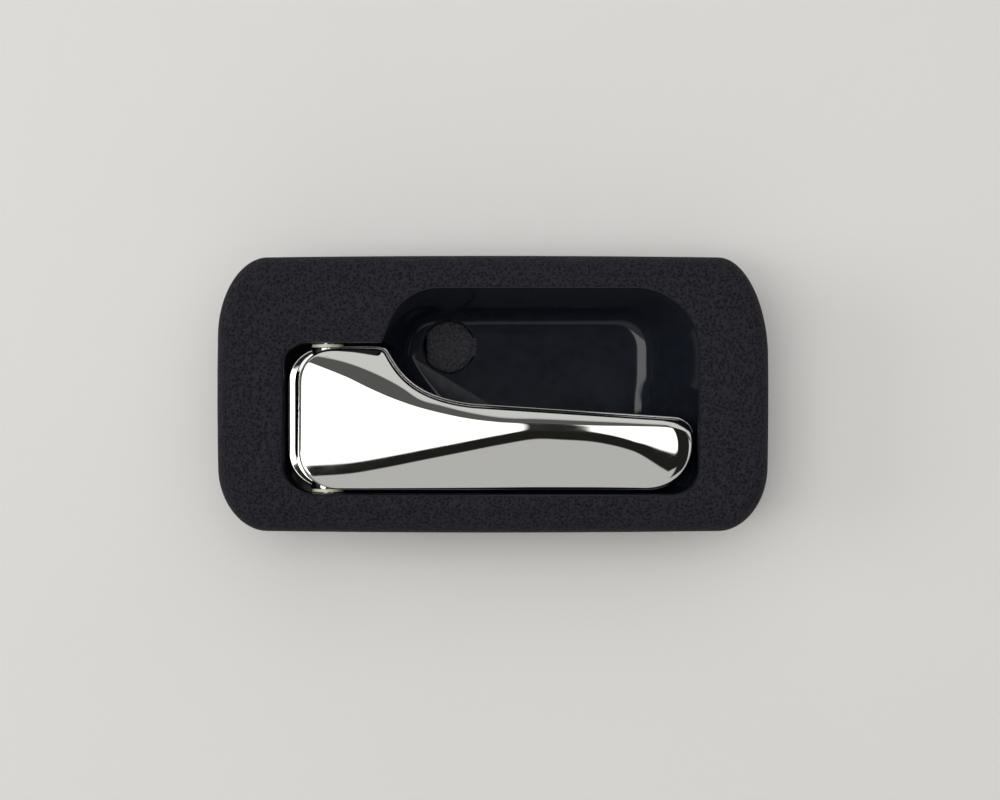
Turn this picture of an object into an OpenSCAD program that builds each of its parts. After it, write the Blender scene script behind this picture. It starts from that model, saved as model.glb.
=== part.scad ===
// Car interior door handle: a flush bezel with a finger cup, and a pull lever
// on an upright pin that works the latch rod behind the door panel.
// X runs along the handle from the pivot to the lever's free end, Y is up on
// the door, Z comes out of the panel. Z = 0 is the plane of the door panel.

/* [Bezel] */
// Length of the bezel along the door
bezel_l = 150.4; // [140:0.2:165]
// Height of the bezel
bezel_w = 75.6; // [72:0.2:85]
// Height of the crowned face above the door panel
bezel_h = 10; // [8.5:0.5:13]
// Wall thickness of the moulding
wall = 2.4; // [1.8:0.1:3]
// Length of the outline's four corners along the handle
corner_l = 13; // [8:0.5:18]
// Height of the two lower corners
corner_low_w = 17; // [10:0.5:20]
// Height of the corner above the pivot end
corner_pivot_w = 21; // [10:0.5:22]
// Height of the corner above the free end
corner_free_w = 27; // [10:0.5:28]
// Outward bow of the short sides
end_bow = 0.7; // [0:0.1:2]
// Outward bow of the long sides
side_bow = 0.6; // [0:0.1:1.5]
// Width of the rolled edge in plan
roll_w = 5.6; // [3:0.2:8]
// Height of the upright skirt below the rolled edge
skirt_h = 1.6; // [0.5:0.1:3]
// Drop of the face from its crown to the rolled edge
crown = 1.1; // [0.3:0.1:1.6]
// Radius of the lip round the opening
lip_r = 1.1; // [0.4:0.1:2]

/* [Finger cup] */
// Distance from the door panel down to the cup floor
cup_depth = 14; // [11:0.5:18]
// Width of the face above the cup
cup_top_band = 9.6; // [8.6:0.2:12]
// Width of the face beyond the cup's free end
cup_end_band = 20; // [17:0.2:22]
// Height of the cup opening above the pocket
cup_rise = 14.4; // [12:0.2:16]
// Radius of the cup's far upper corner
cup_far_r = 17; // [10:1:22]
// Radius of the cup's near upper corner
cup_near_r = 14; // [8:1:16]
// Width of the sloping wall and its fillet at the far end
cup_end_slope = 14.5; // [8:0.5:18]
// Width of the sloping wall and its fillet along the top
cup_top_slope = 8.2; // [5:0.2:10]
// Width of the sloping wall and its fillet along the bottom
cup_low_slope = 6; // [4:0.5:9]

/* [Lever pocket] */
// Width of the face beyond the pocket's pivot end
pocket_end_band = 19; // [17:0.2:22]
// Width of the face below the pocket
pocket_low_band = 11; // [9.6:0.2:13]
// Length of the pocket's upper side, up to the cusp beside the cup
pocket_l = 26.5; // [24:0.5:28]
// Clear gap between the lever's hem and the pocket, above and below
pocket_gap = 0.6; // [0.4:0.1:1.2]
// Depth of the pocket floor below the door panel
shelf_depth = 5; // [4.5:0.5:7]

/* [Lever] */
// Width of the flange at the lever's pivot end, with its hem
flange_w = 3.7; // [1.5:0.1:4]
// Height of the lever's ridge above the door panel
lever_h = 13; // [12:0.5:15]
// Height of the lever's open back above the door panel
lever_back = 2; // [1:0.5:3]
// Wall thickness of the lever
lever_wall = 2.3; // [1.8:0.1:2.6]
// Width of the hem that runs round the lever
hem = 0.8; // [0.3:0.1:1]
// Height of that hem
hem_h = 2.6; // [1.5:0.1:3.5]
// Thickness of the ribs behind the lever
rib_t = 1.8; // [1.2:0.1:2.5]

/* [Pivot] */
// Distance of the pivot pin from the pocket's pivot end
pivot_inset = 11.2; // [10.6:0.1:12]
// Height of the pivot pin above the door panel
pivot_z = 2.6; // [2.2:0.1:3]
// Radius of the pivot pin
pin_r = 2; // [1.5:0.1:2.2]
// Running clearance of the pin in its bushes
run_gap = 0.05; // [0.02:0.01:0.1]
// Clearance of a part that is pressed or pushed home
seat_gap = 0.02; // [0.01:0.01:0.04]
// Wall thickness of the two flanged bushes
bush_wall = 1.1; // [0.8:0.1:1.2]
// Thickness of the bush flanges
flange_t = 0.8; // [0.5:0.1:1]
// End play between a bush flange and the pocket wall
end_play = 0.3; // [0.1:0.05:0.4]
// Length of each lever barrel round its bush
barrel_l = 6; // [4:0.5:7]
// Wall thickness of the lever barrels
barrel_wall = 1.4; // [1:0.1:1.6]
// Angle through which the lever opens
open_angle = 38; // [30:1:40]

/* [Latch crank] */
// Distance from the pivot pin to the rod hole
crank_l = 18.6; // [16.6:0.2:19]
// Width of the crank arm
crank_w = 8; // [7:0.2:8.4]
// Thickness of the crank arm
crank_t = 3.2; // [2.4:0.1:4]
// Radius of the latch rod that the clip takes
rod_r = 2; // [1.5:0.1:2.2]
// Clearance of the latch rod in the clip
rod_gap = 0.06; // [0.02:0.01:0.1]
// Wall of the clip's spigot round the rod
spigot_wall = 0.8; // [0.6:0.1:1]
// Thickness of the clip's two heads
clip_head_t = 1.5; // [1:0.1:2]
// Reach of the clip's rod saddle from the rod hole
saddle_l = 9; // [8:0.5:9.5]

/* [Return spring] */
// Diameter of the spring wire
wire_d = 1; // [0.8:0.1:1.2]
// Number of coils
coils = 5; // [3:1:6]
// Gap between neighbouring coils
coil_gap = 0.35; // [0.2:0.05:0.6]

/* [Mounting] */
// Distance of the fixing screw from the cusp, along the handle
screw_run = 17.2; // [16.2:0.2:19.6]
// Distance of the fixing screw from the foot of the cup's upper wall
screw_inset = 6.6; // [6.4:0.2:8.6]
// Radius of the hole for the fixing screw
screw_hole_r = 2.6; // [2.1:0.1:3.2]
// Thickness of the boss floor under the screw head
screw_seat_t = 3; // [2:0.2:4]
// Radius of the cap over the screw
cap_r = 7.2; // [6.6:0.1:7.4]
// Gap round the cap
cap_gap = 0.25; // [0.15:0.05:0.4]
// Thickness of the cap
cap_t = 1.4; // [1:0.1:1.8]
// How far the cap stands above the cup floor
cap_proud = 0.5; // [0:0.1:1]
// Depth of the rear feet below the door panel
foot_depth = 22; // [21.5:0.5:26]
// Thickness of the door panel that the hooks and the clip grip
panel_t = 3; // [2:0.2:4]
// Thickness of the panel clip's steel
clip_t = 0.6; // [0.4:0.1:0.8]

/* [Hidden] */
arc_n = 8;
cusp_n = 3;
step_n = 4;
mid_n = 2;
near = 0.01;

// Heights
lip_z = bezel_h - lip_r;
floor_z = -cup_depth;
shelf_z = -shelf_depth;
foot_z = -foot_depth;

// Plan of the opening, from the bezel's outline and the face round it
cup_top = bezel_w / 2 - cup_top_band;
cup_end = bezel_l / 2 - cup_end_band;
pocket_end = bezel_l / 2 - pocket_end_band;
pocket_top = cup_top - cup_rise;
pocket_low = -bezel_w / 2 + pocket_low_band;
cusp_x = -pocket_end + pocket_l;
cusp_lean = 5.9;
near_r = [8, 7, 1.5, 6.5];

// Ends and edges of the lever's face, which clears the opening
lever_x0 = -pocket_end + pocket_gap + flange_w;
lever_x1 = cup_end - pocket_gap - hem;
lever_top = pocket_top - pocket_gap - hem;
lever_low = pocket_low + pocket_gap + hem;
nose = flange_w - hem;

// Places of the skin's points on the straight sides
low_run = [-25, 12];
free_run = [-14, 8];
top_run = [10, -25];
cusp_run = [-30, -42];
pivot_run = [14, -14];

// Plan of the cup floor and of the wall between cup and pocket
floor_far = cup_end - cup_end_slope;
floor_top = cup_top - cup_top_slope;
floor_low = pocket_low + cup_low_slope;
floor_near = cusp_x + 6.7;
floor_r = 6;
divide_top = [[cusp_x + 1.3, pocket_top - 0.6], [cusp_x + 2.7, -1], [cusp_x + 26.7, pocket_low + 0.4]];
divide_low = [[cusp_x + 7, pocket_top - 3], [cusp_x + 9.7, 3], [cusp_x + 35.7, floor_low]];

// Pivot, bushes and barrels
pivot_x = pocket_end - pivot_inset;
bush_r = pin_r + run_gap + bush_wall;
barrel_bore = bush_r + seat_gap;
barrel_r = barrel_bore + barrel_wall;
flange_r = barrel_r - 0.3;
boss_r = barrel_r + 0.6;
boss_l = [3.4, 5];
head_t = 1.2;
head_r = pin_r + 1.4;
retainer_t = 0.8;
retainer_r = pin_r + 1.5;
barrel_top = pocket_top - end_play - flange_t;
barrel_low = pocket_low + end_play + flange_t;
crank_step = 0.3;
crank_y = barrel_low + barrel_l + crank_step + crank_t / 2;
rod_x = -pivot_x;
rod_z = pivot_z - crank_l;
rod_notch_gap = 2;
spigot_r = rod_r + rod_gap + spigot_wall;
tip_r = spigot_r + 1.5;
coil_r = pin_r + 0.4 + wire_d / 2;
lug_w = wire_d + 1.7;
coil_y0 = crank_y + crank_t / 2 + lug_w - wire_d / 2;
coil_pitch = wire_d + coil_gap;

// Rubber pads that the lever rests on, under its first rib
rib_x = cusp_x - 4.3;
pad_y = [pocket_top - 7.3, pocket_low + 3.2];
pad_r = 2.2;
pad_h = 3.3;
pad_stem_r = 1.2;
pad_gap = 0.3;
post_z = lever_back - pad_gap - pad_h;

// Rubber pad at the end of the crank slot, which stops the open lever
stop_lip = 1.6;
stop_grip = 3;
stop_low_z = shelf_z - wall - stop_lip;
stop_face_x = crank_face_x(stop_low_z) + pad_gap;
slot_x0 = -pivot_x - crank_w / 2 - 1.5;
slot_x1 = stop_face_x + stop_lip;
slot_y0 = crank_y - crank_t / 2 - 1;
slot_y1 = crank_y + crank_t / 2 + lug_w + 0.4;

// Screw boss and the snap cap over it
screw_x = cusp_x + screw_run;
screw_y = floor_top - screw_inset;
ledge_r = cap_r - 0.9;
ledge_z = floor_z - cap_t + cap_proud;
chord_x = cap_r - 1;
key_w = 5.4;
key_l = 0.7;
snap_l = 3;

// Side walls behind the pocket, and stiffeners behind the cup floor
side_wall_l = 24;
stiffener_t = wall - 0.4;
stiffener_x = [floor_far - 24.7, floor_far - 6.7];
cross_rib_l = 30;

// Hooks that slip under the edge of the door panel
hook_x = -bezel_l / 2 + 9.2;
hook_y = [-24, 10];
hook_w = 9;
hook_t = 2.4;
hook_reach = 6.5;

// Rib that carries the panel clip
clip_rib = [bezel_l / 2 - 13.2, bezel_l / 2 - 11.2];
clip_rib_w = 16;
clip_rib_z = -panel_t - 5.4;

// Place of the open crank's leading face at height z
function crank_face_x(z) =
    let (half = max(crank_w / 2, tip_r))
    -pivot_x + (pivot_z - z + half * sin(open_angle)) * tan(open_angle) + half * cos(open_angle);

// Functions for outlines
function mix(a, b, t) = a + (b - a) * t;
function run(p, q, n) = [for (i = [0:n]) mix(p, q, i / n)];
function arc(c, r, a0, a1, n) =
    [for (i = [0:n]) let (a = mix(a0, a1, i / n)) c + r * [cos(a), sin(a)]];
function bezier(p, t) = (1 - t) * (1 - t) * p[0] + 2 * t * (1 - t) * p[1] + t * t * p[2];
function cubic(p, t) = pow(1 - t, 3) * p[0] + 3 * t * pow(1 - t, 2) * p[1]
    + 3 * t * t * (1 - t) * p[2] + pow(t, 3) * p[3];
function wrap(a) = a > 180 ? a - 360 : (a < -180 ? a + 360 : a);
function round_corner(a, b, c, r, n) =
    let (u = (a - b) / norm(a - b), v = (c - b) / norm(c - b), half = acos(u * v) / 2,
        o = b + (u + v) / norm(u + v) * r / sin(half), p = b + u * r / tan(half),
        q = b + v * r / tan(half), a0 = atan2(p.y - o.y, p.x - o.x),
        turn = wrap(atan2(q.y - o.y, q.x - o.x) - a0))
    arc(o, r, a0, a0 + turn, n);
function oval(c, r, a0, a1, n) =
    [for (i = [0:n]) let (a = mix(a0, a1, i / n)) c + [r.x * cos(a), r.y * sin(a)]];
function lift(ring, z) = [for (p = ring) [p.x, p.y, z]];

// Outer outline of the bezel, drawn inwards by inset, with bowed sides
function bow(p, hl, hw) =
    [p.x * (1 + end_bow / hl * (1 - pow(p.y / hw, 2))),
     p.y * (1 + side_bow / hw * (1 - pow(p.x / hl, 2)))];
function corner(w, inset) = [max(corner_l - inset, 2), max(w - inset, 2)];
function bezel_outline(inset) =
    let (hl = bezel_l / 2 - inset - end_bow, hw = bezel_w / 2 - inset - side_bow,
        low = corner(corner_low_w, inset), free = corner(corner_free_w, inset),
        pivot = corner(corner_pivot_w, inset),
        pts = concat(
            oval([-hl + low.x, -hw + low.y], low, 180, 270, arc_n),
            run([low_run[0], -hw], [low_run[1], -hw], step_n),
            oval([hl - low.x, -hw + low.y], low, 270, 360, arc_n),
            run([hl, free_run[0]], [hl, free_run[1]], mid_n),
            oval([hl - free.x, hw - free.y], free, 0, 90, arc_n),
            run([top_run[0], hw], [top_run[1], hw], arc_n),
            run([cusp_run[0], hw], [cusp_run[1], hw], cusp_n),
            oval([-hl + pivot.x, hw - pivot.y], pivot, 90, 180, arc_n),
            run([-hl, pivot_run[0]], [-hl, pivot_run[1]], mid_n)))
    [for (p = pts) bow(p, hl, hw)];

// Edge of the opening for cup and lever, grown into the face by g
function opening(g) =
    let (back = g * (norm([cusp_lean, cup_rise]) - cusp_lean) / cup_rise,
        low_near = [-pocket_end - g, pocket_low - g], low_far = [cup_end + g, pocket_low - g],
        top_far = [cup_end + g, cup_top + g], top_near = [cusp_x + cusp_lean - back, cup_top + g],
        cusp = [cusp_x - back, pocket_top + g], pocket_near = [-pocket_end - g, pocket_top + g])
    concat(
        round_corner(pocket_near, low_near, low_far, near_r[0] + g, arc_n),
        run([-16, pocket_low - g], [8, pocket_low - g], step_n),
        round_corner(low_near, low_far, top_far, near_r[1] + g, arc_n),
        run([cup_end + g, -12], [cup_end + g, 4], mid_n),
        round_corner(low_far, top_far, top_near, cup_far_r + g, arc_n),
        round_corner(top_far, top_near, cusp, cup_near_r + g, arc_n),
        round_corner(top_near, cusp, pocket_near, max(near_r[2] - g, 0.3), cusp_n),
        round_corner(cusp, pocket_near, low_near, near_r[3] + g, arc_n),
        run([-pocket_end - g, 2], [-pocket_end - g, -13], mid_n));

// Wall between cup and pocket: stations on its far part, then on its near part
function divide_far(p, g) =
    let (q = [for (c = p) c - [g, g / 2]])
    [for (i = [0:arc_n + 2]) bezier(q, i <= arc_n ? mix(0.55, 0.8, i / arc_n) : 0.1 * (i - arc_n) + 0.8)];
function divide_near(p, g) =
    let (q = [for (c = p) c - [g, g / 2]])
    concat(
        [for (i = [0:cusp_n]) bezier(q, 0.03 * i)],
        [for (i = [0:arc_n]) bezier(q, mix(0.15, 0.38, i / arc_n))],
        [for (i = [0:mid_n]) bezier(q, mix(0.43, 0.5, i / mid_n))]);

// Foot of the cup walls on the cup floor
function floor_edge(g) =
    let (low_far = [floor_far + g, floor_low - g], top_far = [floor_far + g, floor_top + g],
        top_near = [floor_near - g, floor_top + g], foot = divide_low[0] - [g, 0])
    concat(
        divide_far(divide_low, g),
        run(divide_low[2] + [3, -g], divide_low[2] + [10, -g], step_n - 2),
        round_corner(divide_low[2] - [0, g], low_far, top_far, floor_r + g, arc_n),
        run([floor_far + g, -9], [floor_far + g, 5], mid_n),
        round_corner(low_far, top_far, top_near, floor_r + g, arc_n),
        round_corner(top_far, top_near, foot, floor_r + g, arc_n),
        divide_near(divide_low, g));

// Edge of the pocket floor over the cup, at the stations that look down on it
cup_stations = step_n - 1 + 3 * (arc_n + 1) + mid_n + 1;
function shelf_edge(g) =
    concat(
        divide_far(divide_top, g),
        [for (i = [1:cup_stations]) [0, 0]],
        divide_near(divide_top, g));
function on_shelf(i) = i <= arc_n + 2 || i >= arc_n + 3 + cup_stations + cusp_n - 1;

// Stations where the cup wall drops straight past the lever before it slopes
function beside_lever(i) = i > arc_n + 2 && i <= arc_n + 2 + step_n + arc_n + mid_n;
clear_z = lever_back - 0.8;

// Rings of the basin: two on the pocket floor or the upper wall, then the
// sloping wall and its fillet down to the cup floor
function wall_point(top, top_z, foot, foot_z, bend, t) =
    let (a = bend - (1 - bend) * 0.9, start = mix(top, foot, a), corner = mix(top, foot, bend),
        za = mix(top_z, foot_z, a / bend), xy = bezier([start, corner, foot], t))
    [xy.x, xy.y, bezier([za, foot_z, foot_z], t)];
function basin_shelf(g, drop, side) =
    let (o = opening(g), f = floor_edge(g * 0.6), s = shelf_edge(g))
    [for (i = [0:len(o) - 1]) on_shelf(i)
        ? (side == 0 ? [o[i].x, o[i].y, shelf_z - drop] : [s[i].x, s[i].y, shelf_z - drop])
        : beside_lever(i) ? [o[i].x, o[i].y, mix(lip_z, clear_z, side == 0 ? 0.5 : 1)]
        : let (u = side == 0 ? 0.2 : 0.4, p = mix(o[i], f[i], u))
            [p.x, p.y, mix(lip_z, floor_z - drop, u / 0.8)]];
function basin_wall(g, drop, t) =
    let (o = opening(g), f = floor_edge(g * 0.6), s = shelf_edge(g))
    [for (i = [0:len(o) - 1]) on_shelf(i)
        ? wall_point(s[i], shelf_z - drop, f[i], floor_z - drop, 0.62, t)
        : wall_point(o[i], beside_lever(i) ? clear_z : lip_z, f[i], floor_z - drop, 0.8, t)];

// Closed skin through a list of rings, with a flat face at each end that is
// drawn from the ring's point number apex
module skin(rings, apex = 0) {
    n = len(rings[0]);
    m = len(rings);
    sides = [for (j = [0:m - 2], i = [0:n - 1]) let (k = (i + 1) % n, a = j * n, b = a + n)
        each [[a + i, a + k, b + k], [a + i, b + k, b + i]]];
    first = [for (i = [0:n - 1]) (apex + n - i) % n];
    last = [for (i = [0:n - 1]) (m - 1) * n + (apex + i) % n];
    polyhedron([for (r = rings) each r], concat([first], sides, [last]), convexity = 10);
}

function roll_ring(inner, a) =
    let (w = inner ? wall : 0, span = roll_w + (inner ? 0.6 : 0) - w,
        rise = bezel_h - crown - w - skirt_h)
    lift(bezel_outline(w + span * (1 - cos(a))), skirt_h + rise * sin(a));
function face_ring(t, drop) =
    let (a = bezel_outline(roll_w), b = opening(lip_r + 0.6))
    [for (i = [0:len(a) - 1]) let (p = mix(a[i], b[i], t))
        [p.x, p.y, bezel_h - crown * pow(1 - t, 2) - drop]];

module bezel_shell() {
    outside = concat(
        [for (t = [1, 0.65, 0.35, 0]) basin_wall(0, 0, t)],
        [basin_shelf(0, 0, 1), basin_shelf(0, 0, 0)],
        [for (a = [0, 45, 90]) lift(opening(lip_r * (1 - cos(a))), lip_z + lip_r * sin(a))],
        [face_ring(0.45, 0)],
        [for (a = [90:-18:0]) roll_ring(false, a)],
        [lift(bezel_outline(0), 0)]);
    inside = concat(
        [lift(bezel_outline(wall), 0)],
        [for (a = [0:30:90]) roll_ring(true, a)],
        [face_ring(0.45, wall), lift(opening(wall), bezel_h - wall)],
        [basin_shelf(wall, wall, 0), basin_shelf(wall, wall, 1)],
        [for (t = [0, 0.5, 1]) basin_wall(wall, wall, t)]);
    skin(concat(outside, inside));
}

module along_y(y0, y1) {
    translate([-pivot_x, y0, pivot_z]) rotate([-90, 0, 0]) linear_extrude(y1 - y0) children();
}

// Rear structure of the bezel: pin bosses, side walls, feet, hooks, clip rib
module bezel_back() {
    along_y(pocket_top + wall / 2, pocket_top + boss_l[1]) circle(boss_r, $fn = 48);
    along_y(pocket_low - boss_l[0], pocket_low - wall / 2) circle(boss_r, $fn = 48);
    for (y = [pocket_top + 0.5, pocket_low - wall - 0.7])
        translate([-pocket_end - 0.4, y, foot_z]) cube([side_wall_l, wall + 0.2, foot_depth + 6]);
    translate([screw_x, screw_y, foot_z])
        cylinder(r = cap_r + cap_gap + wall, h = foot_depth + floor_z - 0.4, $fn = 64);
    for (x = stiffener_x)
        translate([x, floor_low + 3, foot_z])
            cube([stiffener_t, floor_top - floor_low - 8, foot_depth + floor_z - 0.8]);
    translate([floor_far - cross_rib_l - 0.7, -3, foot_z + 2])
        cube([cross_rib_l, stiffener_t, foot_depth + floor_z - 3]);
    for (y = hook_y) translate([hook_x, y, -panel_t - hook_t]) hook();
    translate([clip_rib[0], -clip_rib_w / 2, clip_rib_z])
        cube([clip_rib[1] - clip_rib[0], clip_rib_w, bezel_h - wall / 2 - 0.6 - clip_rib_z]);
    for (y = pad_y)
        translate([rib_x, y, shelf_z - 1]) cylinder(r = pad_r + 0.2, h = post_z - shelf_z + 1, $fn = 40);
}

// Hook behind the pivot end, which slips under the edge of the door panel
module hook() {
    cube([wall + 0.2, hook_w, hook_t + panel_t + bezel_h - 1.8]);
    translate([-hook_reach, 0, 0]) cube([hook_reach + near, hook_w, hook_t]);
}

module bezel() {
    color([0.17, 0.17, 0.18]) difference() {
        union() {
            bezel_shell();
            bezel_back();
        }
        along_y(pocket_low - boss_l[0] - 1, pocket_top + boss_l[1] + 1)
            circle(pin_r + seat_gap, $fn = 40);
        crank_slot();
        rod_notch();
        screw_recess();
        for (y = pad_y)
            translate([rib_x, y, shelf_z - wall - 2])
                cylinder(r = pad_stem_r + seat_gap, h = 12, $fn = 32);
    }
}

// Slot through the pocket floor for the crank arm
module crank_slot() {
    translate([slot_x0, slot_y0, shelf_z - wall - 2])
        cube([slot_x1 - slot_x0, slot_y1 - slot_y0, wall + 4]);
}

// Notch in the lower side wall, through which the rod's bent end reaches its clip
module rod_notch() {
    half = rod_r + rod_notch_gap;
    translate([rod_x - half, pocket_low - wall - 2, foot_z - 1])
        cube([2 * half, wall + 4, rod_z + half - foot_z + 1]);
}

// Stepped recess for the screw head and its cap, with a notch for the cap's key
module screw_recess() {
    translate([screw_x, screw_y, 0]) {
        translate([0, 0, ledge_z]) cylinder(r = cap_r + cap_gap, h = 8, $fn = 64);
        translate([0, 0, foot_z + screw_seat_t]) cylinder(r = ledge_r, h = 12, $fn = 64);
        translate([0, 0, foot_z - 1]) cylinder(r = screw_hole_r, h = foot_depth - 2, $fn = 40);
        translate([0, -key_w / 2 - cap_gap, ledge_z])
            cube([cap_r + key_l + cap_gap, key_w + 2 * cap_gap, 8]);
    }
}

// Outline of the lever's face, as upper and lower edge at x
shoulder_drop = 0.4;
shoulder_ease = 2.6;
shoulder = [[cusp_x + 0.3, lever_top - shoulder_drop], [cusp_x + 3.2, 6.5], [cusp_x + 7.2, -1.6],
    [cusp_x + 24.7, -3.35]];
grip_slope = -0.066;
bays = 4;
lever_ribs = [for (i = [0:bays - 1]) mix(rib_x, lever_x1, i / bays)];
web_h = 6.2;
start_r = [9, 10];
end_r = [[4.2, 3.6], [11.5, 12.5]];
function quarter(d, rx, ry) = d >= rx ? 0 : ry * (1 - sqrt(1 - pow((rx - d) / rx, 2)));
function shoulder_at(x, lo, hi, k) =
    let (m = (lo + hi) / 2)
    k == 0 ? cubic(shoulder, m).y
        : (cubic(shoulder, m).x < x ? shoulder_at(x, m, hi, k - 1) : shoulder_at(x, lo, m, k - 1));
function upper_edge(x) =
    (x < shoulder[0].x
        ? lever_top - shoulder_drop * pow(max(0, (x - shoulder[0].x) / shoulder_ease + 1), 2)
        : (x < shoulder[3].x ? shoulder_at(x, 0, 1, 16)
            : shoulder[3].y + grip_slope * (x - shoulder[3].x)))
    - quarter(x - lever_x0, start_r[0], start_r[0])
    - quarter(lever_x1 - x, end_r[0][0], end_r[0][1]);
function lower_edge(x) =
    lever_low + quarter(x - lever_x0, start_r[1], start_r[1])
    + quarter(lever_x1 - x, end_r[1][0], end_r[1][1]);

// Ridge and bevel line that part the lever's three facets, as points at shares
// of its length: the ridge by its height over the lower edge, the bevel line by Y
ridge_shape = [[0, 4.2], [0.13, 5.1], [0.22, 6.7], [0.31, 8.6], [0.43, 11.3], [0.51, 12.9],
    [0.61, 14.5], [0.66, 14.3], [0.76, 13.4], [0.86, 10.4], [0.93, 6.8], [1, 3.4]];
bevel_shape = [[0, 9.5], [0.02, 8.6], [0.12, 4.6], [0.2, 0.3], [0.31, -3.7], [0.36, -5.1],
    [0.43, -6.7], [0.51, -7.6], [0.61, -8], [0.76, -8.5], [0.93, -8.8], [1, -10.2]];
function on_lever(shape, y) = [for (p = shape) [mix(lever_x0, lever_x1, p.x), p.y + y]];
ridge_line = on_lever(ridge_shape, lever_low);
bevel_line = on_lever(bevel_shape, 0);
function along(line, x, i = 0) =
    i >= len(line) - 2 || x <= line[i + 1].x
        ? mix(line[i].y, line[i + 1].y, (x - line[i].x) / (line[i + 1].x - line[i].x))
        : along(line, x, i + 1);
function between(a, b, y) = min(max(y, a), b);
function ridge_z(x) =
    lever_h - 0.9 * pow(abs(x - 8) / 60, 2) - quarter(x - lever_x0, 2.2, 1.6)
    - quarter(lever_x1 - x, 4.5, 2.4);

// Points across the lever's face at x: from the lower edge over the ridge and
// the bevel line to the upper edge
ridge_i = 5;
lower_tilt = 0.24;
bevel_tilt = 0.42;
edge_roll = 1;
function face_row(x, in_lo, in_hi, drop) =
    let (lo = lower_edge(x) + in_lo, hi = upper_edge(x) - in_hi, span = hi - lo,
        r = between(lo + span * 0.12, hi - span * 0.3, along(ridge_line, x)),
        b = between(r + span * 0.12, hi - span * 0.08, along(bevel_line, x)),
        z = ridge_z(x) - drop, roll = min(edge_roll, span * 0.06),
        z_lo = z - lower_tilt * (r - lo), z_b = z - 0.05 * (b - r),
        z_hi = z_b - bevel_tilt * (hi - b))
    [[x, lo, max(z_lo - roll, lever_back + hem_h + 0.4 - drop)],
     [x, lo + roll, z_lo + lower_tilt * roll + 0.1],
     [x, mix(lo, r, 0.5), mix(z_lo, z, 0.5) + 0.25],
     [x, mix(lo, r, 0.85), mix(z_lo, z, 0.85) + 0.12],
     [x, r, z],
     [x, mix(r, b, 0.5), mix(z, z_b, 0.5) + 0.12],
     [x, b, z_b],
     [x, mix(b, hi, 0.5), mix(z_b, z_hi, 0.45)],
     [x, hi - roll, z_hi + bevel_tilt * roll],
     [x, hi, max(z_hi - roll * 0.6, lever_back + hem_h + 0.4 - drop)]];
function lever_row(x, in_lo, in_hi, drop, base) =
    let (f = face_row(x, in_lo, in_hi, drop), n = len(f) - 1)
    concat([[x, f[0].y, base]], f, [[x, f[n].y, base]]);

// Places of the rows along the lever, closer where its outline turns
function spaced(a, b, n) = [for (i = [0:n - 1]) mix(a, b, i / n)];
function lever_places(a, b) = concat(
    [for (i = [0:5]) a + start_r[1] * (1 - cos(90 * i / 6)) + near * i],
    spaced(a + start_r[1] + 0.3, shoulder[0].x - 2.8, 3),
    [for (d = [2.8, 1.4, 0.4]) shoulder[0].x - d],
    [for (i = [0:8]) cubic(shoulder, i / 9).x],
    spaced(shoulder[3].x, b - end_r[1][0], 9),
    [for (i = [0:6]) b - end_r[1][0] * (1 - sin(90 * i / 7))],
    [b]);

module lever_hull() {
    skin([for (x = lever_places(lever_x0, lever_x1))
        lever_row(x, 0, 0, 0, lever_back + hem_h / 2)], ridge_i);
}

// Hollow between two ribs behind the lever's face
module lever_cell(a, b) {
    inner = [for (x = lever_places(lever_x0 + lever_wall, lever_x1 - lever_wall))
        if (x > a + 0.2 && x < b - 0.2) x];
    skin([for (x = concat([a], inner, [b]))
        let (slope = (upper_edge(x + 0.1) - upper_edge(x - 0.1)) / 0.2,
            in = lever_wall * min(sqrt(1 + slope * slope), 2.2))
        lever_row(x, lever_wall, in, lever_wall, lever_back - 2)], ridge_i);
}

// Flat hem that runs round the lever at its open back, and widens to a flange
// at the pivot end
function grown(pts, g) =
    let (n = len(pts))
    [for (i = [0:n - 1]) let (a = pts[(i + n - 1) % n], b = pts[i], c = pts[(i + 1) % n],
        u = (b - a) / norm(b - a), v = (c - b) / norm(c - b),
        m = [u.y + v.y, -u.x - v.x])
        b + (g + nose * pow(max(0, -m.x / norm(m)), 2)) * m / (1 + u * v)];
function lever_outline() =
    let (xs = lever_places(lever_x0, lever_x1), n = len(xs) - 1)
    concat([for (i = [0:n]) [xs[i], lower_edge(xs[i])]],
        [for (i = [n:-1:0]) [xs[i], upper_edge(xs[i])]]);
module lever_hem() {
    translate([0, 0, lever_back]) linear_extrude(hem_h) polygon(grown(lever_outline(), hem));
}

// Barrels for the bushes, and the crank that hangs behind the pocket floor
module lever_back() {
    for (y = [[barrel_top - barrel_l, barrel_top], [barrel_low, crank_y]])
        along_y(y[0], y[1]) {
            circle(barrel_r, $fn = 48);
            translate([-rib_t / 2, -web_h]) square([rib_t, web_h]);
        }
    along_y(crank_y - crank_t / 2, crank_y + crank_t / 2) {
        translate([-crank_w / 2, -web_h]) square([crank_w, web_h + crank_l]);
        translate([0, crank_l]) circle(tip_r, $fn = 48);
    }
    along_y(crank_y, crank_y + crank_t / 2 + lug_w)
        translate([0, coil_r + wire_d / 2 + 0.3])
            square([coil_r - wire_d / 2 - 0.1, pivot_z - shelf_z - coil_r - wire_d / 2 - 0.6]);
}

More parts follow.
